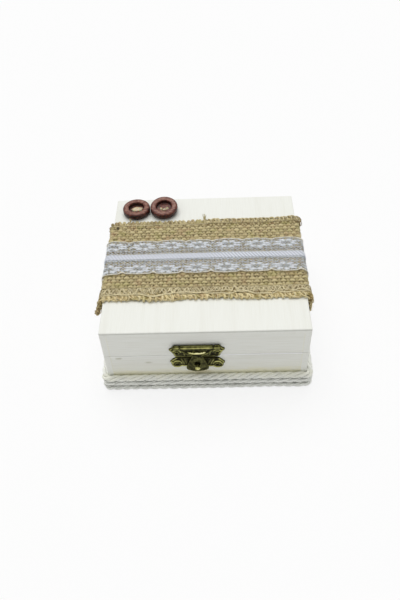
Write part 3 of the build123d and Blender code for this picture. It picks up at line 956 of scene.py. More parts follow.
def drape(s, v, h):
    """Points of the cloth in the box's frame, from places on the band."""
    side = np.where(s < 0, -1.0, 1.0)
    away = np.abs(s)
    last_turn = pi / 2 - flare_of(s, v)
    turn = np.clip((away - BEND_X) / BEND_RADIUS, 0, last_turn)
    hang = np.maximum(away - BEND_X - BEND_RADIUS * last_turn, 0)
    # The edges wander a little, the cloth lifts in places, and the flaps ripple
    edge = np.clip(np.abs(v) / HALF_BAND, 0, 1) ** 3
    sway = 0.26 * MM * np.sin(s / (8.5 * MM) + 1.1) + 0.16 * MM * np.sin(s / (3.7 * MM) + v / HALF_BAND)
    lift = 0.1 * MM * np.sin(s / (15 * MM) + 0.7) * np.cos(v / (10 * MM))
    lift = lift + 0.12 * MM * edge * (1 + np.sin(s / (6.1 * MM)))
    lift = lift + 0.25 * MM * hang / FLAP_LENGTH * np.sin(v / (7.5 * MM) + 0.4 * side)
    # Flat on top, then round the bend, then down the flap
    rise = h + lift
    x = side * (np.minimum(away, BEND_X) + (BEND_RADIUS + rise) * np.sin(turn) + hang * np.cos(turn))
    z = BEND_Z + (BEND_RADIUS + rise) * np.cos(turn) - hang * np.sin(turn)
    skew = 1 + 0.028 * np.clip(v / HALF_BAND, 0, 1) * s / HALF_WIDTH
    y = v * skew + CLOTH_SHIFT + sway * edge
    return np.stack([x, y, z], -1)


def band_end(side):
    """Distance along the band from the lid's middle to the end of a flap."""
    flare = radians(7) if side < 0 else settings("burlap").right_flare
    return side * (BEND_X + BEND_RADIUS * (pi / 2 - flare) + FLAP_LENGTH)


def cloth_grid(half_width, step, surface):
    """Even sheet over the lid between both flap ends; a function gives its height and tone at each place."""
    start, stop = band_end(-1), band_end(1)
    s = np.linspace(start, stop, int((stop - start) / step))
    v = np.linspace(-half_width, half_width, int(2 * half_width / step) + 1)
    along, across = np.meshgrid(s, v, indexing="ij")
    index = np.arange(along.size).reshape(along.shape)
    quads = np.stack([index[:-1, :-1], index[1:, :-1], index[1:, 1:], index[:-1, 1:]], -1).reshape(-1, 4)
    h, tones = (np.broadcast_to(values, along.shape).ravel() for values in surface(along, across))
    return drape(along.ravel(), across.ravel(), h), [quads], tones


def hem_step(s, v):
    """Dent along the right half of the back hem, with a hole at each yarn, and the raised hem behind it."""
    pitch = settings("burlap").pitch
    sewn = np.clip(s / (2 * MM), 0, 1)
    holes = np.clip(0.25 + np.cos(2 * pi * s / pitch), 0, 1)
    dent = ridge(v - 25.0 * MM, 0.55 * MM) * holes
    raised = np.clip((v - 25.4 * MM) / (0.6 * MM), 0, 1)
    return sewn * dent, sewn * raised


def woven_yarns(rng, places, ends, phase, is_long, width, burlap):
    """Parallel yarns of a plain weave, each with its own width, wander and tone."""
    rows = len(places)
    span = np.abs(ends[:, 1] - ends[:, 0]).max()
    steps = int(span / burlap.pitch * 5)

    def uneven(spacing):
        return eased_noise(rng, rows, steps, int(span / spacing))

    def apart(low, high):
        return rng.uniform(low, high, (rows, 1))

    share = np.linspace(0, 1, steps)
    run = ends[:, :1] + (ends[:, 1:] - ends[:, :1]) * share
    odd = np.arange(rows)[:, None] + phase
    rise = np.cos(pi * run / burlap.pitch + pi * odd)
    if is_long:
        rise = rise * (1.5 - 0.5 * rise**2)
    h = burlap.wave * rise * apart(0.75, 1.1)
    h = h + 0.07 * MM * uneven(burlap.pitch)
    place = places[:, None] + 0.2 * MM * uneven(9 * MM)
    wide = width * (1 + 0.18 * uneven(4 * MM))
    wide = wide * apart(0.88, 1.08)
    high = burlap.half_height * (1 + 0.2 * uneven(5 * MM))
    # The long yarns lie on top and get a lighter tone than the cross yarns, as painted light; each yarn is
    # also painted lighter where it rises at a crossing and darker where it dips, as painted highlight and
    # shade
    tone, wear_and_highlight = (0.64, 0.28) if is_long else (0.26, 0.1)
    tone = tone + apart(-0.12, 0.12)
    tone = tone + 0.22 * uneven(burlap.pitch)
    tone = tone + wear_and_highlight * np.clip(2.2 * rise, -1, 1)
    s, v = (run, place) if is_long else (place, run)
    dent, raised = hem_step(s, v)
    h = h - 0.45 * MM * dent + 0.12 * MM * raised
    # The yarns in the dent get a lower tone: painted shade in the row of holes
    return tubes(np.stack([s, v, h], -1), (0, 0, 1.0), wide, high, 8, tone - 1.2 * dent)


def thread_on_cloth(s, v, h, radius, sides=6, tones=0.6, up=(0, 0, 1.0)):
    """One sewing thread through places on the band."""
    path = np.stack(np.broadcast_arrays(s, v, h), -1)[None]
    return moved(tubes(path, up, radius, radius, sides, tones), drape)


def shaded_ends(s, tone):
    """A tone that darkens where the cloth turns down over the sides."""
    return tone - 0.6 * np.clip((np.abs(s) - BEND_X) / (3 * MM), 0, 1)


def hem_swell(s):
    """How much fuller a hem is at a place: most where it is folded at the top of the flaps."""
    down = (np.abs(s) - BEND_X) / MM
    left = 1 + 0.9 * np.clip(down / 4, 0, 1)
    right = 1 + 1.5 * ridge(down - 4.5, 2.6) - 0.35 * np.clip((down - 7) / 2, 0, 1)
    return np.where(s < 0, left, right)


# The threads of a hem take their reach along the band in metres and all other sizes in millimetres.


def hem_roll(rng, reach, v_middle, half_width, height, lumps, tone):
    """Thick core of a hem along one edge of the band, lumpy and unevenly coloured; the low tones it is given
    are painted shade between the loops wound over it.
    """
    start, stop = reach
    steps = int((stop - start) / (0.4 * MM))
    s = np.linspace(start, stop, steps)
    knots = int((stop - start) / (lumps * MM))
    v = (v_middle + 0.25 * wander(rng, steps, knots // 2)) * MM
    wide = half_width * MM * (1 + 0.3 * wander(rng, steps, knots))
    tone = tone + 0.3 * wander(rng, steps, 14) + 0.2 * wander(rng, steps, knots)
    path = np.stack([s, v, np.full(steps, 0.1 * MM)], -1)[None]
    high = height * MM * hem_swell(s)
    return moved(tubes(path, (0, 0, 1.0), wide, high, 10, shaded_ends(s, tone)), drape)


def wound_thread(rng, reach, v_middle, half_width, height, pitch, radius, uneven, slant, tone):
    """Yarn wound round a hem in loops of uneven reach, which make its lumpy outline."""
    start, stop = reach
    turns = int((stop - start) / (pitch * MM))
    steps = turns * 12
    share = np.linspace(0, 1, steps)
    s = start + (stop - start) * share + 0.3 * pitch * MM * wander(rng, steps, turns)
    angle = 2 * pi * turns * share
    away = np.stack([np.zeros(steps), np.cos(angle), np.sin(angle)], -1)
    s = np.clip(s + slant * MM * np.sin(angle), start, stop)
    out = half_width * (1 + uneven * wander(rng, steps, turns))
    v = (v_middle + out * np.cos(angle)) * MM
    h = (0.1 + height * hem_swell(s) * np.sin(angle)) * MM
    thick = radius * MM * (1 + 0.25 * wander(rng, steps, turns * 2))
    tone = tone + 0.4 * wander(rng, steps, 15) + 0.2 * wander(rng, steps, turns)
    return thread_on_cloth(s, v, h, thick, tones=shaded_ends(s, tone), up=away[None])


def zigzag_thread(rng, reach, v_low, v_high, pitch, radius, height):
    """Overlock thread that runs to and fro between two lines."""
    start, stop = reach
    step = pitch / 2 * MM
    count = int((stop - start) / step)
    s_knots = start + (np.arange(count) + rng.uniform(-0.4, 0.4, count)) * step
    v_knots = np.where(np.arange(count) % 2 == 0, v_low, v_high) + rng.uniform(-0.4, 0.4, count)
    at = np.linspace(0, count - 1, count * 7)
    low = np.minimum(at.astype(int), count - 2)
    share = at - low
    s = s_knots[low] + (s_knots[low + 1] - s_knots[low]) * share
    v = v_knots[low] + (v_knots[low + 1] - v_knots[low]) * eased(share)
    h = height + 0.12 * np.sin(at * 2.3)
    tone = 0.75 + 0.35 * wander(rng, len(s), count)
    return thread_on_cloth(s, v * MM, h * MM, radius * MM, tones=shaded_ends(s, tone))


def line_thread(rng, reach, v_middle, radius, height, sway, tone, dip=0.0):
    """Thread that runs along the band with a slow wander, and here and there dips over the hem."""
    start, stop = reach
    steps = int((stop - start) / (0.5 * MM))
    s = np.linspace(start, stop, steps)
    knots = int((stop - start) / (7 * MM))
    v = v_middle + sway * wander(rng, steps, knots)
    v = v - dip * np.clip(2.4 * wander(rng, steps, knots) - 1, 0, 1)
    h = height + 0.12 * wander(rng, steps, knots * 2)
    tone = tone + 0.25 * wander(rng, steps, knots * 3)
    return thread_on_cloth(s, v * MM, h * MM, radius * MM, tones=shaded_ends(s, tone))


def loose_fibres(rng, count):
    """Short hairs that stand out of the yarns, none of them under the lace."""
    parts = []
    for _ in range(count):
        s0 = rng.uniform(band_end(-1), band_end(1))
        v0 = rng.uniform(-29, 29) * MM
        if abs(v0) < LACE_HALF:
            v0 = np.sign(v0) * rng.uniform(14, 29) * MM
        heading = rng.uniform(0, 2 * pi)
        reach = rng.uniform(1.2, 3.2) * MM
        share = np.linspace(0, 1, 7)
        curl = rng.uniform(-0.9, 0.9)
        s = s0 + reach * share * np.cos(heading + curl * share)
        v = v0 + reach * share * np.sin(heading + curl * share)
        h = 0.7 * MM + rng.uniform(0.2, 0.8) * MM * np.sin(pi * share * rng.uniform(0.5, 1.0))
        radius = 0.055 * MM * (1.05 - 0.6 * share)
        parts.append(thread_on_cloth(s, v, h, radius[None], sides=4, tones=rng.uniform(0.4, 1)))
    return parts


def frayed_tuft(rng, s0, v0, count, reach):
    """Tuft of broken yarn that stands out past an edge of the band."""
    parts = []
    for _ in range(count):
        share = np.linspace(0, 1, 8)
        lean = rng.uniform(-0.45, 0.45)
        long = reach * rng.uniform(0.6, 1.0)
        s = s0 + rng.uniform(-0.5, 0.5) * MM + long * share * np.sin(lean)
        v = v0 + long * share * cos(lean)
        h = 0.5 * MM + rng.uniform(0.4, 1.5) * MM * share
        radius = 0.2 * MM * (1.05 - 0.75 * share)
        parts.append(thread_on_cloth(s, v, h, radius[None], sides=5, tones=rng.uniform(0.1, 0.8)))
    return parts


def dark_knot(rng, s0, v0):
    """Small dark knot of bark in the jute."""
    parts = []
    for _ in range(7):
        share = np.linspace(0, 1, 10)
        angle = rng.uniform(0, 2 * pi) + share * rng.uniform(3, 6)
        s = s0 + 0.7 * MM * np.cos(angle) * (0.4 + 0.6 * share)
        v = v0 + 0.45 * MM * np.sin(angle) * (0.4 + 0.6 * share)
        parts.append(thread_on_cloth(s, v, (0.9 + 0.3 * share) * MM, 0.2 * MM, sides=5, tones=-3.0))
    return parts


def weave(rng, burlap):
    """The long and the cross yarns of the band, with ragged ends."""
    start, stop = band_end(-1), band_end(1)
    rows = 26
    v_places = (np.arange(rows) - (rows - 1) / 2) * burlap.pitch
    fray = rng.uniform(-0.6, 0.7, (rows, 2)) * MM
    ends = np.stack([start - fray[:, 0], stop + fray[:, 1]], -1)
    long_yarns = woven_yarns(rng, v_places, ends, 0, True, burlap.long_width, burlap)

    first = int(np.ceil((start + 0.6 * MM) / burlap.pitch))
    last = int(np.floor((stop - 0.6 * MM) / burlap.pitch))
    s_places = np.arange(first, last + 1) * burlap.pitch
    back = (27.6 + rng.uniform(-0.3, 0.3, len(s_places))) * MM
    front = (-28.0 + rng.uniform(-0.2, 0.2, len(s_places))) * MM
    ends = np.stack([front, back], -1)
    phase = first + 0.5 + rows / 2
    cross_yarns = woven_yarns(rng, s_places, ends, phase, False, burlap.cross_width, burlap)
    return moved(long_yarns, drape), moved(cross_yarns, drape)


def hems(rng, burlap):
    """The front hem, the back hem and the sewing threads over both."""
    start, stop = band_end(-1), band_end(1)
    # The back hem is bound plainly on the left, and more closely on the right, where it is sewn down
    whole, left, right = (start, stop), (start, 2 * MM), (2 * MM, stop)
    row = burlap.pitch / MM
    # The cores get a low tone: painted shade between the loops wound over them
    front_hem = [
        hem_roll(rng, whole, -27.8, 1.2, 0.3, lumps=2.4, tone=0.15),
        wound_thread(rng, whole, -28.1, 1.35, 0.35, 2.8, 0.6, uneven=0.5, slant=0.9, tone=0.8),
        wound_thread(rng, whole, -28.0, 1.5, 0.66, 4.9, 0.3, uneven=0.6, slant=-2.2, tone=1.0),
    ]
    back_hem = [
        hem_roll(rng, whole, 27.4, 1.4, 0.35, lumps=3, tone=0.05),
        wound_thread(rng, left, 27.8, 1.5, 0.42, row, 0.74, uneven=0.15, slant=0.1, tone=0.5),
        wound_thread(rng, right, 27.9, 1.7, 0.6, 2.25, 0.45, uneven=0.15, slant=1.2, tone=0.7),
    ]
    threads = [
        line_thread(rng, whole, -26.7, 0.27, 1.2, sway=1.5, tone=1.05, dip=2.2),
        line_thread(rng, whole, -25.8, 0.19, 1.1, sway=1.3, tone=0.85, dip=0.8),
        line_thread(rng, whole, -22.4, 0.16, 1.0, sway=0.5, tone=0.6),
        wound_thread(rng, whole, -28.1, 1.95, 0.85, 5.3, 0.2, uneven=0.3, slant=1.7, tone=0.95),
        wound_thread(rng, left, 27.8, 1.6, 0.8, row, 0.16, uneven=0.2, slant=0.3, tone=0.3),
        wound_thread(rng, right, 27.9, 1.95, 0.95, 2.25, 0.2, uneven=0.2, slant=1.5, tone=0.6),
        line_thread(rng, right, 25.7, 0.14, 0.95, sway=0.35, tone=0.4),
        line_thread(rng, left, 25.6, 0.19, 1.0, sway=0.3, tone=0.8),
    ]
    overlock = ((-26.3, -22.5, 5.3), (-26.1, -22.8, 4.6), (-25.8, -22.6, 3.9), (-25.3, -22.9, 3.1))
    for low, high, pitch in overlock:
        threads.append(zigzag_thread(rng, whole, low, high, pitch, 0.18, 1.1))
    return front_hem, back_hem, threads


class KEEPSAKE_OT_burlap(bpy.types.Operator):
    """Weave the burlap band over the lid, with its hems, threads and loose fibres"""

    bl_idname = "keepsake.burlap"
    bl_label = "Burlap band"

    def execute(self, context):
        burlap = context.scene.keepsake_burlap
        rng = np.random.default_rng(SEED + 1)
        start, stop = band_end(-1), band_end(1)
        yarn = jute("spun_jute", burlap.light, burlap.dark)
        under = jute("painted_shade_in_the_gaps", burlap.dark, burlap.shade)
        hem = jute("golden_hem_yarn", burlap.gold, burlap.umber)
        cream = spun_thread("overlock_thread", burlap.thread, burlap.dark)

        # A dark sheet under the yarns paints the shade seen in the gaps between them
        shade_sheet = cloth_grid(SHADE_SHEET_HALF, 0.9 * MM, lambda s, v: (SHADE_SHEET_HEIGHT, 0.25))
        sheet = mesh_object("painted_shade_sheet_under_weave", [shade_sheet], under, "lid")
        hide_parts("burlap_band")

        long_yarns, cross_yarns = weave(rng, burlap)
        front_hem, back_hem, threads = hems(rng, burlap)
        loose = loose_fibres(rng, 110)
        loose += frayed_tuft(rng, 0.1 * MM, 29.5 * MM, 9, 3.6 * MM)
        loose += frayed_tuft(rng, -41 * MM, 29.3 * MM, 4, 2.6 * MM)
        loose += dark_knot(rng, -47.3 * MM, 24 * MM)
        pieces = [
            mesh_object("burlap_long_yarns", [long_yarns], yarn, "lid"),
            mesh_object("burlap_cross_yarns", [cross_yarns], yarn, "lid"),
            mesh_object("burlap_front_hem", front_hem, hem, "lid"),
            mesh_object("burlap_back_hem", back_hem, yarn, "lid"),
            mesh_object("overlock_threads", threads, cream, "lid"),
            mesh_object("burlap_loose_fibres", loose, yarn, "lid"),
        ]
        return {"FINISHED"}


# Lace and satin


# Rows of the lace's pattern, in millimetres from the ribbon's middle line
SELVAGE = 2.35
INNER_CORD = 5.1
LEAVES = 6.9
FLOWERS = 8.55
BUDS = 9.9
SCALLOPS = 12.3


def lace_motif_places(s, v, lace):
    """Places in millimetres from the nearest notch and flower, and across the lace from its middle."""
    along = s / MM + 0.35 * np.sin(s / (9 * MM) + 1) + 0.2 * np.sin(s / (4.3 * MM) + 3 * v / HALF_BAND)
    across = np.abs(v) / MM + 0.14 * np.sin(s / (5.3 * MM) + 2)
    pitch = lace.motif_pitch / MM
    notch = np.where(v > 0, 5.0, 3.5)
    from_notch = (along - notch + pitch / 2) % pitch - pitch / 2
    from_flower = (along - notch) % pitch - pitch / 2
    return along, across, from_notch, from_flower


def scallop_edge(from_notch):
    """Distance of the scalloped edge from the lace's middle, in millimetres."""
    return SCALLOPS - 1.35 * ridge(from_notch, 1.5) + 0.15 * np.cos(from_notch / 1.2)


def net_depth(along, across, pitch):
    """Depth inside the net's threads and inside its knots; it is coarser under the flowers."""
    shaken = along + 0.22 * np.sin(across * 3.1 + along) + 0.15 * np.sin(along * 2.3)
    rising = np.abs((shaken + across) / pitch % 1 - 0.5) * pitch / 1.41
    falling = np.abs((shaken - across) / pitch % 1 - 0.5) * pitch / 1.41
    flowered = across > INNER_CORD
    threads = np.where(flowered, 0.14, 0.11) - np.minimum(rising, falling)
    knots = np.where(flowered, 0.34, 0.42) - np.hypot(rising, falling)
    return threads, knots


def flower_depth(along, across, from_flower, which):
    """Depth inside a flower's eight petals, and the share of its reach at which a place lies."""
    ragged = 0.1 * np.sin(along * 3.7 + across) + 0.09 * np.sin(across * 5.3 - along)
    half_long, half_wide, petal_count = 6.7, 3.05, 8
    px = (from_flower + 0.35 * which) / half_long
    py = (across - FLOWERS - 0.2 * which) / half_wide
    petals = np.full(px.shape, -1.0)
    for k in range(petal_count):
        heading = 2 * pi * (k + 0.5) / petal_count + 0.22 * which
        outward = px * np.cos(heading) + py * np.sin(heading)
        sideways = py * np.cos(heading) - px * np.sin(heading)
        from_middle = np.hypot((outward - 0.68) / 0.33, sideways / 0.235)
        petals = np.maximum(petals, 0.9 * (1 - from_middle - ragged))
    return petals, np.hypot(px, py) * (1 + ragged)


def notch_depth(across, from_notch):
    """Depth inside the bud and the two small leaves below each notch."""
    bud = 0.5 * (1 - np.hypot(from_notch / 0.75, (across - BUDS) / 0.6))
    beside = np.abs(from_notch)
    leaves = 0.5 * (1 - np.hypot((beside - 1.3) / 0.95, (across - LEAVES - 0.5 * beside) / 0.5))
    return bud, leaves


def lace_pattern(s, v, lace):
    """Depth inside the lace's threads in millimetres, and how high they are, up to 1, which also sets how
    bright they are painted: low threads and the flowers' eyes get painted shade.

    Net, stitches and veins are drawn coarser than real ones, so that they show."""
    along, across, from_notch, from_flower = lace_motif_places(s, v, lace)
    # Each flower is turned and placed a little differently
    half_pitch = lace.motif_pitch / MM / 2
    which = np.sin(7.0 * np.round((along - from_flower) / half_pitch) + 2.0 * np.sign(v))
    net, knots = net_depth(along, across, lace.net_pitch / MM)
    petals, reach = flower_depth(along, across, from_flower, which)
    bud, leaves = notch_depth(across, from_notch)
    # The eye of a flower holds small bright stitches over close net, painted dark as shade
    eye = 0.36
    stitches = 0.5 * np.cos(along * 4.1) * np.cos(across * 4.1) - 0.12 - np.clip(reach - eye, 0, 1) * 9
    mesh = np.where(reach < eye, net + 0.09, np.maximum(net, knots))
    inner_cord = 0.16 - np.abs(across - INNER_CORD - 0.35 * np.cos(2 * pi * from_flower / 5))
    selvage = 0.2 - np.abs(across - SELVAGE)
    under_satin = SELVAGE - 0.3 - across
    worked = np.maximum.reduce([petals, stitches, bud, leaves, mesh])
    body = np.minimum(worked, scallop_edge(from_notch) - across)
    depth = np.maximum.reduce([body, inner_cord, selvage, under_satin])
    veins = 0.72 + 0.28 * np.cos(from_flower * 2.9 + 2 * np.sin(across * 2.1)) * np.cos(across * 4.6)
    heights = [veins * np.clip(petals * 3, 0, 1), stitches * 1.2, bud * 2, leaves * 1.6]
    heights += [inner_cord * 3.5, selvage * 2, knots * 2.6]
    # Painted shade in the eye of each flower, between its stitches
    painted_eye_shade = 0.45 * (reach < 0.33) * (1 - np.clip(stitches * 4, 0, 1))
    return depth, np.clip(np.maximum.reduce(heights), 0, 1) - painted_eye_shade


def scallop_cords(lace):
    """Thick cream cords along both scalloped edges, with a knot in each notch."""
    start, stop = band_end(-1), band_end(1)
    s = np.arange(start, stop, 0.3 * MM)
    cords = []
    for side in (-1, 1):
        _, drift, from_notch, _ = lace_motif_places(s, np.full(s.shape, side * 12 * MM), lace)
        v = side * (scallop_edge(from_notch) + 12 - drift) * MM
        radius = (0.27 + 0.2 * ridge(from_notch, 0.8) + 0.05 * np.sin(s / (0.7 * MM))) * MM
        cords.append(thread_on_cloth(s, v, CORD_HEIGHT, radius, tones=0.85))
    return cords


def satin_stripe(lace):
    """Narrow satin ribbon along the middle of the lace, with twill lines across it."""

    # The twill is drawn coarser than real. Its ridges are painted lighter and its grooves darker, as painted
    # sheen and shade, more clearly to the right and less on the flaps
    def surface(s, v):
        lines = np.cos(2 * pi * (s + 0.7 * v) / lace.twill_pitch)
        twill = 0.68 + lines * shaded_ends(s, 1) * (0.14 + 0.3 * np.clip(s / (20 * MM), 0, 1))
        roll = 0.25 * MM * (np.abs(v) / SATIN_HALF) ** 6
        return SATIN_HEIGHT + 0.12 * MM * twill - roll, twill

    grid = cloth_grid(SATIN_HALF, lace.cell, surface)
    piece = mesh_object("satin_stripe", [grid], woven_satin(), "lid")
    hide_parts("satin_ribbon")
    return piece


class KEEPSAKE_OT_lace(bpy.types.Operator):
    """Cut the flowered lace ribbon, drape it over the burlap and lay the satin stripe on it"""

    bl_idname = "keepsake.lace"
    bl_label = "Lace and satin"

    def execute(self, context):
        lace = context.scene.keepsake_lace
        start, stop = band_end(-1), band_end(1)
        us = np.arange(start, stop + lace.cell, lace.cell)
        vs = np.arange(-LACE_HALF, LACE_HALF + lace.cell, lace.cell)
        depth, _ = lace_pattern(*np.meshgrid(us, vs, indexing="ij"), lace)
        flat, faces, _ = cut_sheet(us, vs, depth)
        u, v = flat[:, 0], flat[:, 1]
        _, height = lace_pattern(u, v, lace)
        # The lace sinks a little between the yarns below it
        bumps = 0.1 * MM * np.cos(pi * u / (2.1 * MM)) * np.cos(pi * v / (2.1 * MM))
        h = LACE_HEIGHT + 0.3 * MM * height + bumps
        points = drape(u, v, h)
        # Higher threads are painted brighter and lower ones darker: painted light and shade
        tones = 0.32 + 0.66 * height
        thread = spun_thread("lace_thread", lace.thread, lace.shade, 0.6)
        piece = mesh_object("lace_ribbon_flowers", [(points, grouped(faces), tones)], thread, "lid")
        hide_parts("lace_ribbon")
        cord = spun_thread("lace_edge_cord", lace.cord, lace.shade)
        cords = mesh_object("lace_scallop_cords", scallop_cords(lace), cord, "lid")
        satin_stripe(lace)
        return {"FINISHED"}


# Buttons

# Least angle of an edge that stays sharp, here and on the latch
SOFT_LACQUER = radians(40)
SOFT_METAL = radians(50)


def button_place(side, button):
    """Place of the left (-1) or right (1) button's underside; the right one is tipped forward."""
    low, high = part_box("button_left" if side < 0 else "button_right")
    left_low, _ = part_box("button_left")
    front = Matrix.Translation(((low.x + high.x) / 2, left_low.y, left_low.z))
    tilt = Matrix.Rotation(radians(6.5) if side > 0 else 0, 4, "X")
    return front @ tilt @ Matrix.Translation((0, button.radius, 0))


def button_shape(button):
    """Turned button from the middle of its underside over the rim to the middle of its dish; its tones paint
    shade on the sides and the dish's inner wall, and light on the rim's top.
    """
    r, t = button.radius, button.thickness
    dish = 1.2 * MM
    foot, brow, lip = 0.9 * MM, (1.3 * MM, 1.1 * MM), 0.85 * MM
    quarter = np.linspace(0, pi / 2, 7)
    profile = [(0, 0)]
    tones = [0.0]
    profile += [(r - foot * (1 - sin(a)), foot * (1 - cos(a))) for a in quarter]
    tones += [0.05] * len(quarter)
    upper = np.linspace(0.1, pi / 2, 9)
    profile += [(r - brow[0] * (1 - cos(a)), t - brow[1] * (1 - sin(a))) for a in upper]
    tones += list(np.linspace(0.12, 0.75, len(upper)))
    profile += [(x * MM, t) for x in (6.0, 5.7, 5.4)]
    tones += [0.85, 0.9, 0.8]
    inner = np.linspace(1.6, pi, 6)
    profile += [(5.1 * MM + lip * cos(a), t - lip + lip * sin(a)) for a in inner]
    tones += [0.75, 0.7, 0.6, 0.4, 0.15, 0.0]
    profile += [(4.2 * MM, 2.1 * MM), (4.2 * MM, 1.7 * MM), (4.1 * MM, 1.35 * MM), (3.7 * MM, dish)]
    tones += [0.0, 0.0, 0.1, 0.3]
    profile += [(x * MM, dish) for x in (3.0, 2.0, 1.0, 0)]
    tones += [0.6, 0.75, 0.75, 0.75]
    segments = 96
    spread = [tone for (radius, _), tone in zip(profile, tones) for _ in range(segments if radius else 1)]
    return lathe(profile, segments, np.array(spread))


def drill(piece, places, radius, deep):
    """Drills holes through a piece at places on its own frame's Z."""
    tools = []
    for place in places:
        tool = lathe([(0, -deep), (radius, -deep), (radius, deep), (0, deep)], 24)
        points, faces, _ = turned(tool, place)
        mesh = bpy.data.meshes.new("drill")
        mesh.from_pydata(points.tolist(), [], [face.tolist() for group in faces for face in group])
        bit = new_object("drill", mesh)
        cut = piece.modifiers.new("hole", "BOOLEAN")
        cut.operation = "DIFFERENCE"
        cut.solver = "EXACT"
        cut.object = bit
        tools.append(bit)
    done = with_modifiers(piece)
    piece.modifiers.clear()
    piece.data = done
    for bit in tools:
        bpy.data.objects.remove(bit)
    done.shade_smooth()
    done.set_sharp_from_angle(angle=SOFT_LACQUER)


def glue_blob(rng, radius_x, radius_y, height, base):
    """Lump of glue with an uneven outline and a soft crown."""
    rings, segments = 8, 40
    angle = 2 * pi * np.arange(segments) / segments
    uneven = 1 + 0.1 * np.sin(2 * angle + rng.uniform(0, 6)) + 0.07 * np.sin(5 * angle + rng.uniform(0, 6))
    profile = [(1.0, 0.0)]
    profile += [(cos(t) ** 0.7, sin(t)) for t in np.linspace(0.15, pi / 2 - 0.12, rings)]
    profile.append((0, 1.0))
    points, faces, _ = lathe(profile, segments)
    turn = np.arctan2(points[:, 1], points[:, 0])
    swell = np.interp(turn % (2 * pi), np.append(angle, 2 * pi), np.append(uneven, uneven[0]))
    points = points * np.stack([radius_x * swell, radius_y * swell, np.full(len(points), height)], -1)
    points[:, 2] += base
    return points, faces, 0.5


class KEEPSAKE_OT_buttons(bpy.types.Operator):
    """Turn the two lacquered buttons and set them in their glue"""

    bl_idname = "keepsake.buttons"
    bl_label = "Buttons"

    def execute(self, context):
        button = context.scene.keepsake_button
        rng = np.random.default_rng(SEED + 2)
        wood = lacquered_wood()
        glue = set_hot_glue()
        hole_x, hole_radius = 1.8 * MM, 0.9 * MM
        plug = lathe([(0, 0), (0.85 * MM, 0), (0.85 * MM, 1.25 * MM), (0, 1.35 * MM)], 20)
        # Half sizes of the glue in the dish, and how far it lies from the middle, in millimetres
        for side, word, (half_x, half_y), (off_x, off_y) in (
            (-1, "left", (3.5, 1.8), (0.2, 0.5)),
            (1, "right", (1.4, 0.8), (0.3, -1.2)),
        ):
            place = button_place(side, button)
            shape = turned(button_shape(button), place)
            name = f"lacquered_button_{word}"
            piece = mesh_object(name, [shape], wood, "lid", SOFT_LACQUER)
            holes = [place @ Matrix.Translation((x, 0, 0.6 * MM)) for x in (-hole_x, hole_x)]
            drill(piece, holes, hole_radius, 1.5 * MM)
            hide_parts(f"button_{word}")

            dish = place @ Matrix.Translation((off_x * MM, off_y * MM, 0))
            blob = turned(glue_blob(rng, half_x * MM, half_y * MM, 0.8 * MM, 1.16 * MM), dish)
            plugs = [turned(plug, place @ Matrix.Translation((x, 0, 0))) for x in (-hole_x, hole_x)]
            low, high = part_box(f"button_glue_{word}")
            middle = Matrix.Translation(((low.x + high.x) / 2, place.translation.y, LID_TOP))
            pad = turned(glue_blob(rng, 5 * MM, 5 * MM, 0.42 * MM, 0), middle)
            lump = mesh_object(f"glue_under_button_{word}", [blob, pad, *plugs], glue, "lid")
            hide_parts(f"button_glue_{word}")
        return {"FINISHED"}


# Latch


def latch_place(u, v, h):
    """Points of the latch in the box's frame, from its middle line, the seam and out of the front."""
    return np.stack([LATCH_X + u, -HALF_DEPTH - h, SEAM + v], -1)


def plate_outline(sign, top):
    """Outline of a latch plate with pointed ends; sign is 1 above the seam and -1 below it."""
    edge = -0.9 if sign > 0 else 1.15
    low = (9.4, edge)
    heel = (11.3, 1.2) if sign > 0 else (11.5, 2.5)
    tip = (13.5, 4.9)
    half = [(0.0, edge)]
    half += arc_points(low, (10.5, edge + 0.35), heel)
    half += [heel, (12.1, 2.8), (12.9, 3.9)]
    half += arc_points((13.2, 4.2), tip, (13.1, 5.6))
    if sign > 0:
        half += arc_points((12.7, 5.8), (12.0, 6.4), (11.4, 7.4))
        half.append((11.4, 7.4))
    else:
        half += arc_points((12.7, 5.9), (12.5, 8.0), (10.6, 9.2))
        half += arc_points((10.6, 9.2), (8.9, 9.1), (7.4, 8.0))
    half += top
    return mirrored_outline([(x * MM, sign * y * MM) for x, y in half])


def plate_relief(u, v, depth, nail_v, metal):
    """Height of a latch plate's raised border and of the arches over its nails."""
    # The border fades out at the edges that face the seam
    facing = np.clip(np.abs(v + MM) / MM - 0.2, 0.05, 1)
    border = ridge(depth - 0.5 * MM, 0.3 * MM) * facing
    away_u, away_v = np.abs(u) - NAIL_X, v - nail_v
    around = np.hypot(away_u, away_v)
    above = np.clip(0.6 + away_v / (1.6 * MM), 0, 1)
    arch = ridge(around - 2.1 * MM, 0.34 * MM) * above
    inner = ridge(around - 1.4 * MM, 0.2 * MM) * 0.5
    field = np.clip(depth / MM - 0.9, 0, 1)
    scroll = ridge(np.abs(u) - 6.6 * MM - 0.35 * away_v, 0.32 * MM) * field * 0.8
    second = ridge(np.abs(u) - 5.4 * MM - 0.3 * away_v, 0.26 * MM) * field * 0.5
    return metal.bead * np.maximum.reduce([border, arch, inner, scroll, second])


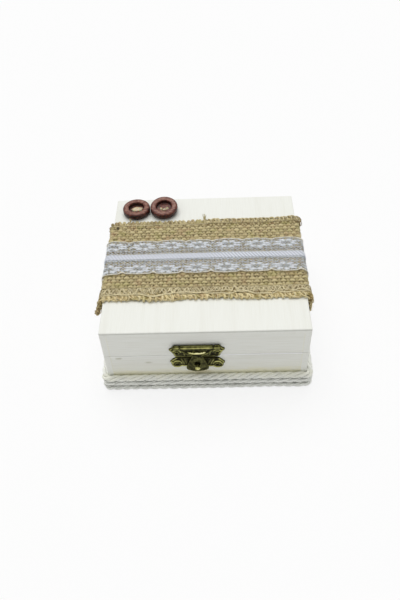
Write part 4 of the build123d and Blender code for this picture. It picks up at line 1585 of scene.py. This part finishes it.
def stamped_sheet(extent, cell, depth_of, relief_of, ground_of, scale, back_share=0, base=0):
    """Sheet metal with relief: a front, a back that follows it in part, and its rim."""
    (u_low, v_low), (u_high, v_high) = extent
    us = np.arange(u_low - cell, u_high + 2 * cell, cell)
    vs = np.arange(v_low - cell, v_high + 2 * cell, cell)
    flat, faces, rim = cut_sheet(us, vs, depth_of(*np.meshgrid(us, vs, indexing="ij")))
    u, v = flat[:, 0], flat[:, 1]

    def relief_at(u, v):
        return relief_of(u, v, np.maximum(depth_of(u, v), 0))

    relief = relief_at(u, v)
    round_off = 0.18 * MM * ridge(np.maximum(depth_of(u, v), 0), 0.14 * MM)
    front = base + LATCH_SHEET + relief - round_off
    back = base + back_share * relief
    count = len(flat)
    points = np.concatenate([np.column_stack([flat, front]), np.column_stack([flat, back])])
    rim = np.array(rim)
    walls = np.stack([rim[:, 1], rim[:, 0], rim[:, 0] + count, rim[:, 1] + count], -1)
    all_faces = grouped(faces) + [group[:, ::-1] + count for group in grouped(faces)] + [walls]
    # Brighter on high relief, as rubbed wear; painted highlight where the relief faces up, and painted shade
    # below each bead
    step = 0.12 * MM
    rising = relief_at(u, v + step) - relief_at(u, v - step)
    tone = np.clip(ground_of(v) + 0.8 * relief / scale - 0.22 * rising / step, 0, 1.4)
    return points, all_faces, np.concatenate([tone, np.full(count, 0.3)])


def barrel(x_low, x_high, tone=0.62):
    """Rolled knuckle along X with a bore and softened ends, at the latch's axis."""
    soft = 0.16 * MM
    half = (x_high - x_low) / 2
    run = np.linspace(-half + soft, half - soft, 9)
    profile = [(BARREL_BORE, -half), (BARREL_RADIUS - soft, -half)]
    profile += [(BARREL_RADIUS, x) for x in run]
    profile += [(BARREL_RADIUS - soft, half), (BARREL_BORE, half)]
    ring = closed_lathe(profile, 28)
    points, faces, _ = turned(ring, Matrix.Rotation(pi / 2, 4, "Y"))
    place = np.array([(x_low + x_high) / 2 + LATCH_X, -HALF_DEPTH - BARREL_OUT, SEAM + BARREL_HEIGHT])
    upward = points[:, 2] / BARREL_RADIUS
    forward = -points[:, 1] / BARREL_RADIUS
    # Painted highlight: a bright line where the knuckle faces up and forward; painted shade on its underside
    # and in the gaps at its ends
    wear_and_highlight = tone - 0.3 + 0.75 * ridge(upward - 0.5, 0.17) * (forward > 0) + 0.2 * ridge(upward - 1, 0.1)
    wear_and_highlight = wear_and_highlight - 0.3 * np.clip(-upward, 0, 1)
    ends = ridge(np.abs(points[:, 0]) - half, 0.25 * MM)
    return points + place, faces, wear_and_highlight - 0.3 * ends


def nail_heads(v, base):
    """Two domed nails of one plate, with shanks into the wood."""
    head, shank, segments = 1.1 * MM, 0.48 * MM, 24
    crown = [(head * cos(a), 0.16 * MM + 0.5 * MM * sin(a)) for a in np.linspace(0, pi / 2 - 0.12, 8)]
    profile = [(0, -5.2 * MM), (shank, -4.4 * MM), (shank, 0), (head, 0)] + crown
    profile.append((0, 0.66 * MM))
    heights = np.array([height for radius, height in profile for _ in range(segments if radius else 1)])
    # A bright ring painted round each dome as a highlight, with its top and foot left dark
    tones = 0.85 * ridge(heights - 0.3 * MM, 0.14 * MM)
    heads = []
    for side in (-1, 1):
        lean = side * NAIL_X * sin(LOWER_PLATE_TILT) if v < 0 else 0.0
        turn = Matrix.Translation((LATCH_X + side * NAIL_X, -HALF_DEPTH - base, SEAM + v + lean))
        heads.append(turned(lathe(profile, segments, tones), turn @ Matrix.Rotation(pi / 2, 4, "X")))
    return heads


def hasp_outline():
    """Outline of the hasp: knuckle edge, wings, neck and bell."""
    half = [(0, 7.4), (8.0, 7.4)]
    half += arc_points((8.0, 5.2), (6.4, 3.2), (2.4, 1.2))
    half += [(2.6, 0.6)]
    half += arc_points((2.9, -0.6), (4.4, -4.4), (5.5, -8.2))
    half += arc_points((5.5, -8.2), (5.3, -9.6), (4.0, -10.4))
    half += arc_points((4.0, -10.4), (2.1, -11.1), (0.0, -11.3))
    half += [(0.0, -11.3)]
    return mirrored_outline([(x * MM, y * MM) for x, y in half])


def slot_distance(u, v):
    """Distance from the arched slot of the hasp, above zero outside it."""
    half, top, bottom = 1.5 * MM, -3.3 * MM, -8.7 * MM
    shoulder = top - half
    du = np.abs(u) - half
    below = np.maximum(du, np.maximum(v - shoulder, bottom - v))
    arch = np.hypot(u, v - shoulder) - half
    return np.where(v > shoulder, arch, below)


def hasp_relief(u, v, depth, metal):
    """Height of the hasp's boss, border and domed bell."""
    smile = v - 3.1 * MM - 0.75 * MM * (u / (4.4 * MM)) ** 2
    boss_space = 1 - (u / (4.5 * MM)) ** 4 - (smile / (0.4 * MM)) ** 2
    boss = 0.8 * MM * np.clip(boss_space, 0, 1) ** 0.5
    border = metal.bead * 0.8 * ridge(depth - 0.4 * MM, 0.26 * MM)
    in_bell = np.clip(-v / (1.5 * MM), 0, 1)
    dome = 0.3 * MM * (1 - np.exp(-depth / (1.5 * MM))) * in_bell
    return np.maximum.reduce([boss, border, dome])


def catch_hook():
    """Bent catch of the lower plate: out through the slot and down to a rounded tip."""
    # Distance out of the front and height above the seam, in millimetres
    bend = [(0.0, -5.95), (1.3, -5.95), (1.95, -6.1), (2.45, -6.6), (2.6, -7.2), (2.6, -7.8), (2.55, -8.35)]
    path = np.array([(LATCH_X, -HALF_DEPTH - out * MM, SEAM + v * MM) for out, v in bend])
    at = np.linspace(0, len(bend) - 1, 25)
    smooth = np.stack([np.interp(at, np.arange(len(bend)), path[:, i]) for i in range(3)], -1)
    for _ in range(2):
        smooth[1:-1] = (smooth[:-2] + 2 * smooth[1:-1] + smooth[2:]) / 4
    wide = np.interp(at, [0, 3, 5.0, 5.7, 6], [1.15, 1.15, 1.3, 1.15, 0.5]) * MM
    thick = np.interp(at, [0, 4, 5.2, 5.8, 6], [0.36, 0.36, 0.6, 0.5, 0.2]) * MM
    tangent = np.gradient(smooth, axis=0)
    up = np.cross(tangent, (1.0, 0, 0))
    # Painted shade where the catch comes out through the slot, and painted highlight on its rounded tip
    tone = np.interp(at, [0, 2.6, 3.4, 5, 6], [0.0, 0.2, 1.0, 1.15, 1.1])
    return tubes(smooth[None], up[None], wide, thick, 14, tone[None])


def latch_plate(sign, top, nail_v, metal):
    """Stamped plate above (1) or below (-1) the seam, in its place."""
    outline = plate_outline(sign, top)

    def depth_of(u, v):
        return edge_distance(outline, u, v)

    def relief_of(u, v, depth):
        return plate_relief(u, v, depth, nail_v, metal)

    def ground_of(v):
        # Painted shade along the slit between the two plates
        return 0.14 - 0.9 * ridge(v + 1.05 * MM, 0.5 * MM)

    extent = (outline.min(0), outline.max(0))
    sheet = stamped_sheet(extent, metal.cell, depth_of, relief_of, ground_of, 0.42 * MM)
    tilt = LOWER_PLATE_TILT if sign < 0 else 0.0
    pivot = Matrix.Translation((0, LOWER_NAIL_V, 0))
    turn = pivot @ Matrix.Rotation(tilt, 4, "Z") @ pivot.inverted()
    return moved(turned(sheet, turn), latch_place)


def hasp_leaf(metal):
    """Stamped leaf of the hasp with its slot, in its place."""
    outline = hasp_outline()

    def depth_of(u, v):
        return np.minimum(edge_distance(outline, u, v), slot_distance(u, v))

    def relief_of(u, v, _):
        return hasp_relief(u, v, edge_distance(outline, u, v).clip(0), metal)

    def ground_of(v):
        return 0.16 + 0 * v

    extent = ((-8 * MM, -11.3 * MM), (8 * MM, 7.4 * MM))
    base = LATCH_SHEET + HASP_GAP
    leaf = stamped_sheet(extent, metal.cell, depth_of, relief_of, ground_of, 0.95 * MM, 0.6, base)
    return moved(leaf, latch_place)


class KEEPSAKE_OT_latch(bpy.types.Operator):
    """Stamp the latch plates and the hasp, and drive their nails"""

    bl_idname = "keepsake.latch"
    bl_label = "Latch"

    def execute(self, context):
        metal = context.scene.keepsake_metal
        bronze = antique_bronze()
        knuckle_end, knuckle_start, hasp_end = 11.3 * MM, 8.2 * MM, 8.0 * MM
        notch_v = 5.8
        upper_top = [(8.2, 7.4), (8.2, notch_v), (0.0, notch_v)]
        lower_top = [(6.4, 8.4), (0.0, 8.4)]

        upper_parts = [latch_plate(1, upper_top, UPPER_NAIL_V, metal)]
        upper_parts += [barrel(-knuckle_end, -knuckle_start, 0.5), barrel(knuckle_start, knuckle_end, 0.5)]
        upper = mesh_object("lid_latch_plate", upper_parts, bronze, "lid", SOFT_METAL)
        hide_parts("latch_upper_plate")

        lower_parts = [latch_plate(-1, lower_top, LOWER_NAIL_V, metal), catch_hook()]
        lower = mesh_object("base_latch_plate", lower_parts, bronze, "base", SOFT_METAL)
        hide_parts("latch_lower_plate")

        hasp_parts = [hasp_leaf(metal), barrel(-hasp_end, hasp_end)]
        hasp = mesh_object("hasp_leaf", hasp_parts, bronze, "hasp", SOFT_METAL)
        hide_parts("latch_hasp")

        for word, v, body in (("upper", UPPER_NAIL_V, "lid"), ("lower", LOWER_NAIL_V, "base")):
            nails = nail_heads(v, LATCH_SHEET)
            heads = mesh_object(f"{word}_plate_nails", nails, bronze, body, SOFT_METAL)
            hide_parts(f"latch_{word}_nails")
        return {"FINISHED"}


class KEEPSAKE_OT_hinges(bpy.types.Operator):
    """Finish the hinges, their pins and their nails in bronze"""

    bl_idname = "keepsake.hinges"
    bl_label = "Hinges and pins"

    def execute(self, context):
        bronze = bpy.data.materials["rubbed_antique_bronze"]
        nodes = [node for node in frame["nodes"] if node.startswith("hinge_") or node == "latch_hasp_pin"]

        def soft_edge(edge):
            return 1.0 if edge.calc_length() > 0.3 * MM else 0.0

        for node in sorted(nodes):
            finished_copy(node, bronze, soft_edge, 0.09 * MM, 2, 0.4)
        return {"FINISHED"}


# Stage


def camera_matrix():
    """Camera's turn and place, from its heading, tilt and roll."""
    forward = Vector(
        (sin(CAMERA_YAW) * cos(CAMERA_PITCH), cos(CAMERA_YAW) * cos(CAMERA_PITCH), -sin(CAMERA_PITCH))
    )
    right = Vector((cos(CAMERA_YAW), -sin(CAMERA_YAW), 0))
    up = right.cross(forward)
    level_right = cos(CAMERA_ROLL) * right + sin(CAMERA_ROLL) * up
    level_up = -sin(CAMERA_ROLL) * right + cos(CAMERA_ROLL) * up
    turn = Matrix((level_right, level_up, -forward)).transposed().to_4x4()
    return Matrix.Translation(CAMERA_PLACE) @ turn


def add_floor():
    """Wide plain floor under the box."""
    size, cells = 3.0, 6
    line = np.linspace(-size / 2, size / 2, cells + 1)
    mesh = bpy.data.meshes.new("floor")
    points = [(x, y, 0) for x in line for y in line]
    step = cells + 1
    corners = [i * step + j for i in range(cells) for j in range(cells)]
    mesh.from_pydata(points, [], [(c, c + step, c + step + 1, c + 1) for c in corners])
    mesh.materials.append(painted_board())
    floor = new_object("floor", mesh)


def add_light(stage):
    """One wide, soft lamp in white surroundings that the camera sees as white."""
    lamp = bpy.data.lights.new("soft_lamp", "SUN")
    lamp.energy = stage.sun
    lamp.angle = radians(55)
    new_object("soft_lamp", lamp).rotation_euler = (radians(-20), radians(-6), 0)

    world = bpy.data.worlds.new("white_studio")
    world.use_nodes = True
    tree = world.node_tree
    sky = tree.nodes["Background"]
    set_sockets(sky, Color=(1, 1, 1), Strength=stage.sky)
    seen = add_node(tree, "Background", (1, 1, 1), 1.0)
    camera_ray = add_node(tree, "LightPath", output="Is Camera Ray")
    glossy_ray = camera_ray.node.outputs["Is Glossy Ray"]
    bright = add_node(tree, "Math", camera_ray, glossy_ray, operation="MAXIMUM")
    both = add_node(tree, "MixShader", bright, sky.outputs[0], seen)
    set_sockets(tree.nodes["World Output"], Surface=both)
    bpy.context.scene.world = world


def add_camera():
    """Camera of the reference view."""
    data = bpy.data.cameras.new("camera")
    data.sensor_fit = "VERTICAL"
    data.sensor_height = CAMERA_SENSOR_MM
    data.lens = CAMERA_LENS_MM
    data.clip_start = 0.01
    data.dof.use_dof = False
    camera = new_object("camera", data)
    camera.matrix_world = camera_matrix()
    bpy.context.scene.camera = camera


class KEEPSAKE_OT_stage(bpy.types.Operator):
    """Set up the floor, the soft light and the camera"""

    bl_idname = "keepsake.stage"
    bl_label = "Stage"

    def execute(self, context):
        add_floor()
        add_light(context.scene.keepsake_stage)
        add_camera()
        context.scene.view_settings.view_transform = "Standard"
        return {"FINISHED"}


GROUPS = {
    "wood": WoodSettings,
    "burlap": BurlapSettings,
    "lace": LaceSettings,
    "rope": RopeSettings,
    "metal": MetalSettings,
    "button": ButtonSettings,
    "stage": StageSettings,
}
OPERATORS = (
    KEEPSAKE_OT_stage,
    KEEPSAKE_OT_boards,
    KEEPSAKE_OT_rope,
    KEEPSAKE_OT_burlap,
    KEEPSAKE_OT_lace,
    KEEPSAKE_OT_buttons,
    KEEPSAKE_OT_latch,
    KEEPSAKE_OT_hinges,
)


class KEEPSAKE_PT_panel(bpy.types.Panel):
    """Sizes, colours and making steps of the keepsake box"""

    bl_idname = "KEEPSAKE_PT_panel"
    bl_label = "Keepsake box"
    bl_space_type = "VIEW_3D"
    bl_region_type = "UI"
    bl_category = "Keepsake box"

    def draw(self, context):
        for operator in OPERATORS:
            self.layout.operator(operator.bl_idname)
        for name, group in GROUPS.items():
            box = self.layout.box()
            box.label(text=name.capitalize())
            for prop in group.__annotations__:
                box.prop(settings(name), prop)


def register():
    """Registers the settings, operators and panel."""
    for name, group in GROUPS.items():
        bpy.utils.register_class(group)
        setattr(bpy.types.Scene, "keepsake_" + name, PointerProperty(type=group))
    for operator in OPERATORS:
        bpy.utils.register_class(operator)
    bpy.utils.register_class(KEEPSAKE_PT_panel)


def unregister():
    """Removes the settings, operators and panel."""
    bpy.utils.unregister_class(KEEPSAKE_PT_panel)
    for operator in OPERATORS:
        bpy.utils.unregister_class(operator)
    for name, group in GROUPS.items():
        delattr(bpy.types.Scene, "keepsake_" + name)
        bpy.utils.unregister_class(group)


def main():
    """Makes every piece in order."""
    register()
    for operator in OPERATORS:
        getattr(bpy.ops.keepsake, operator.bl_idname.split(".")[1])()


if __name__ == "__main__":
    main()
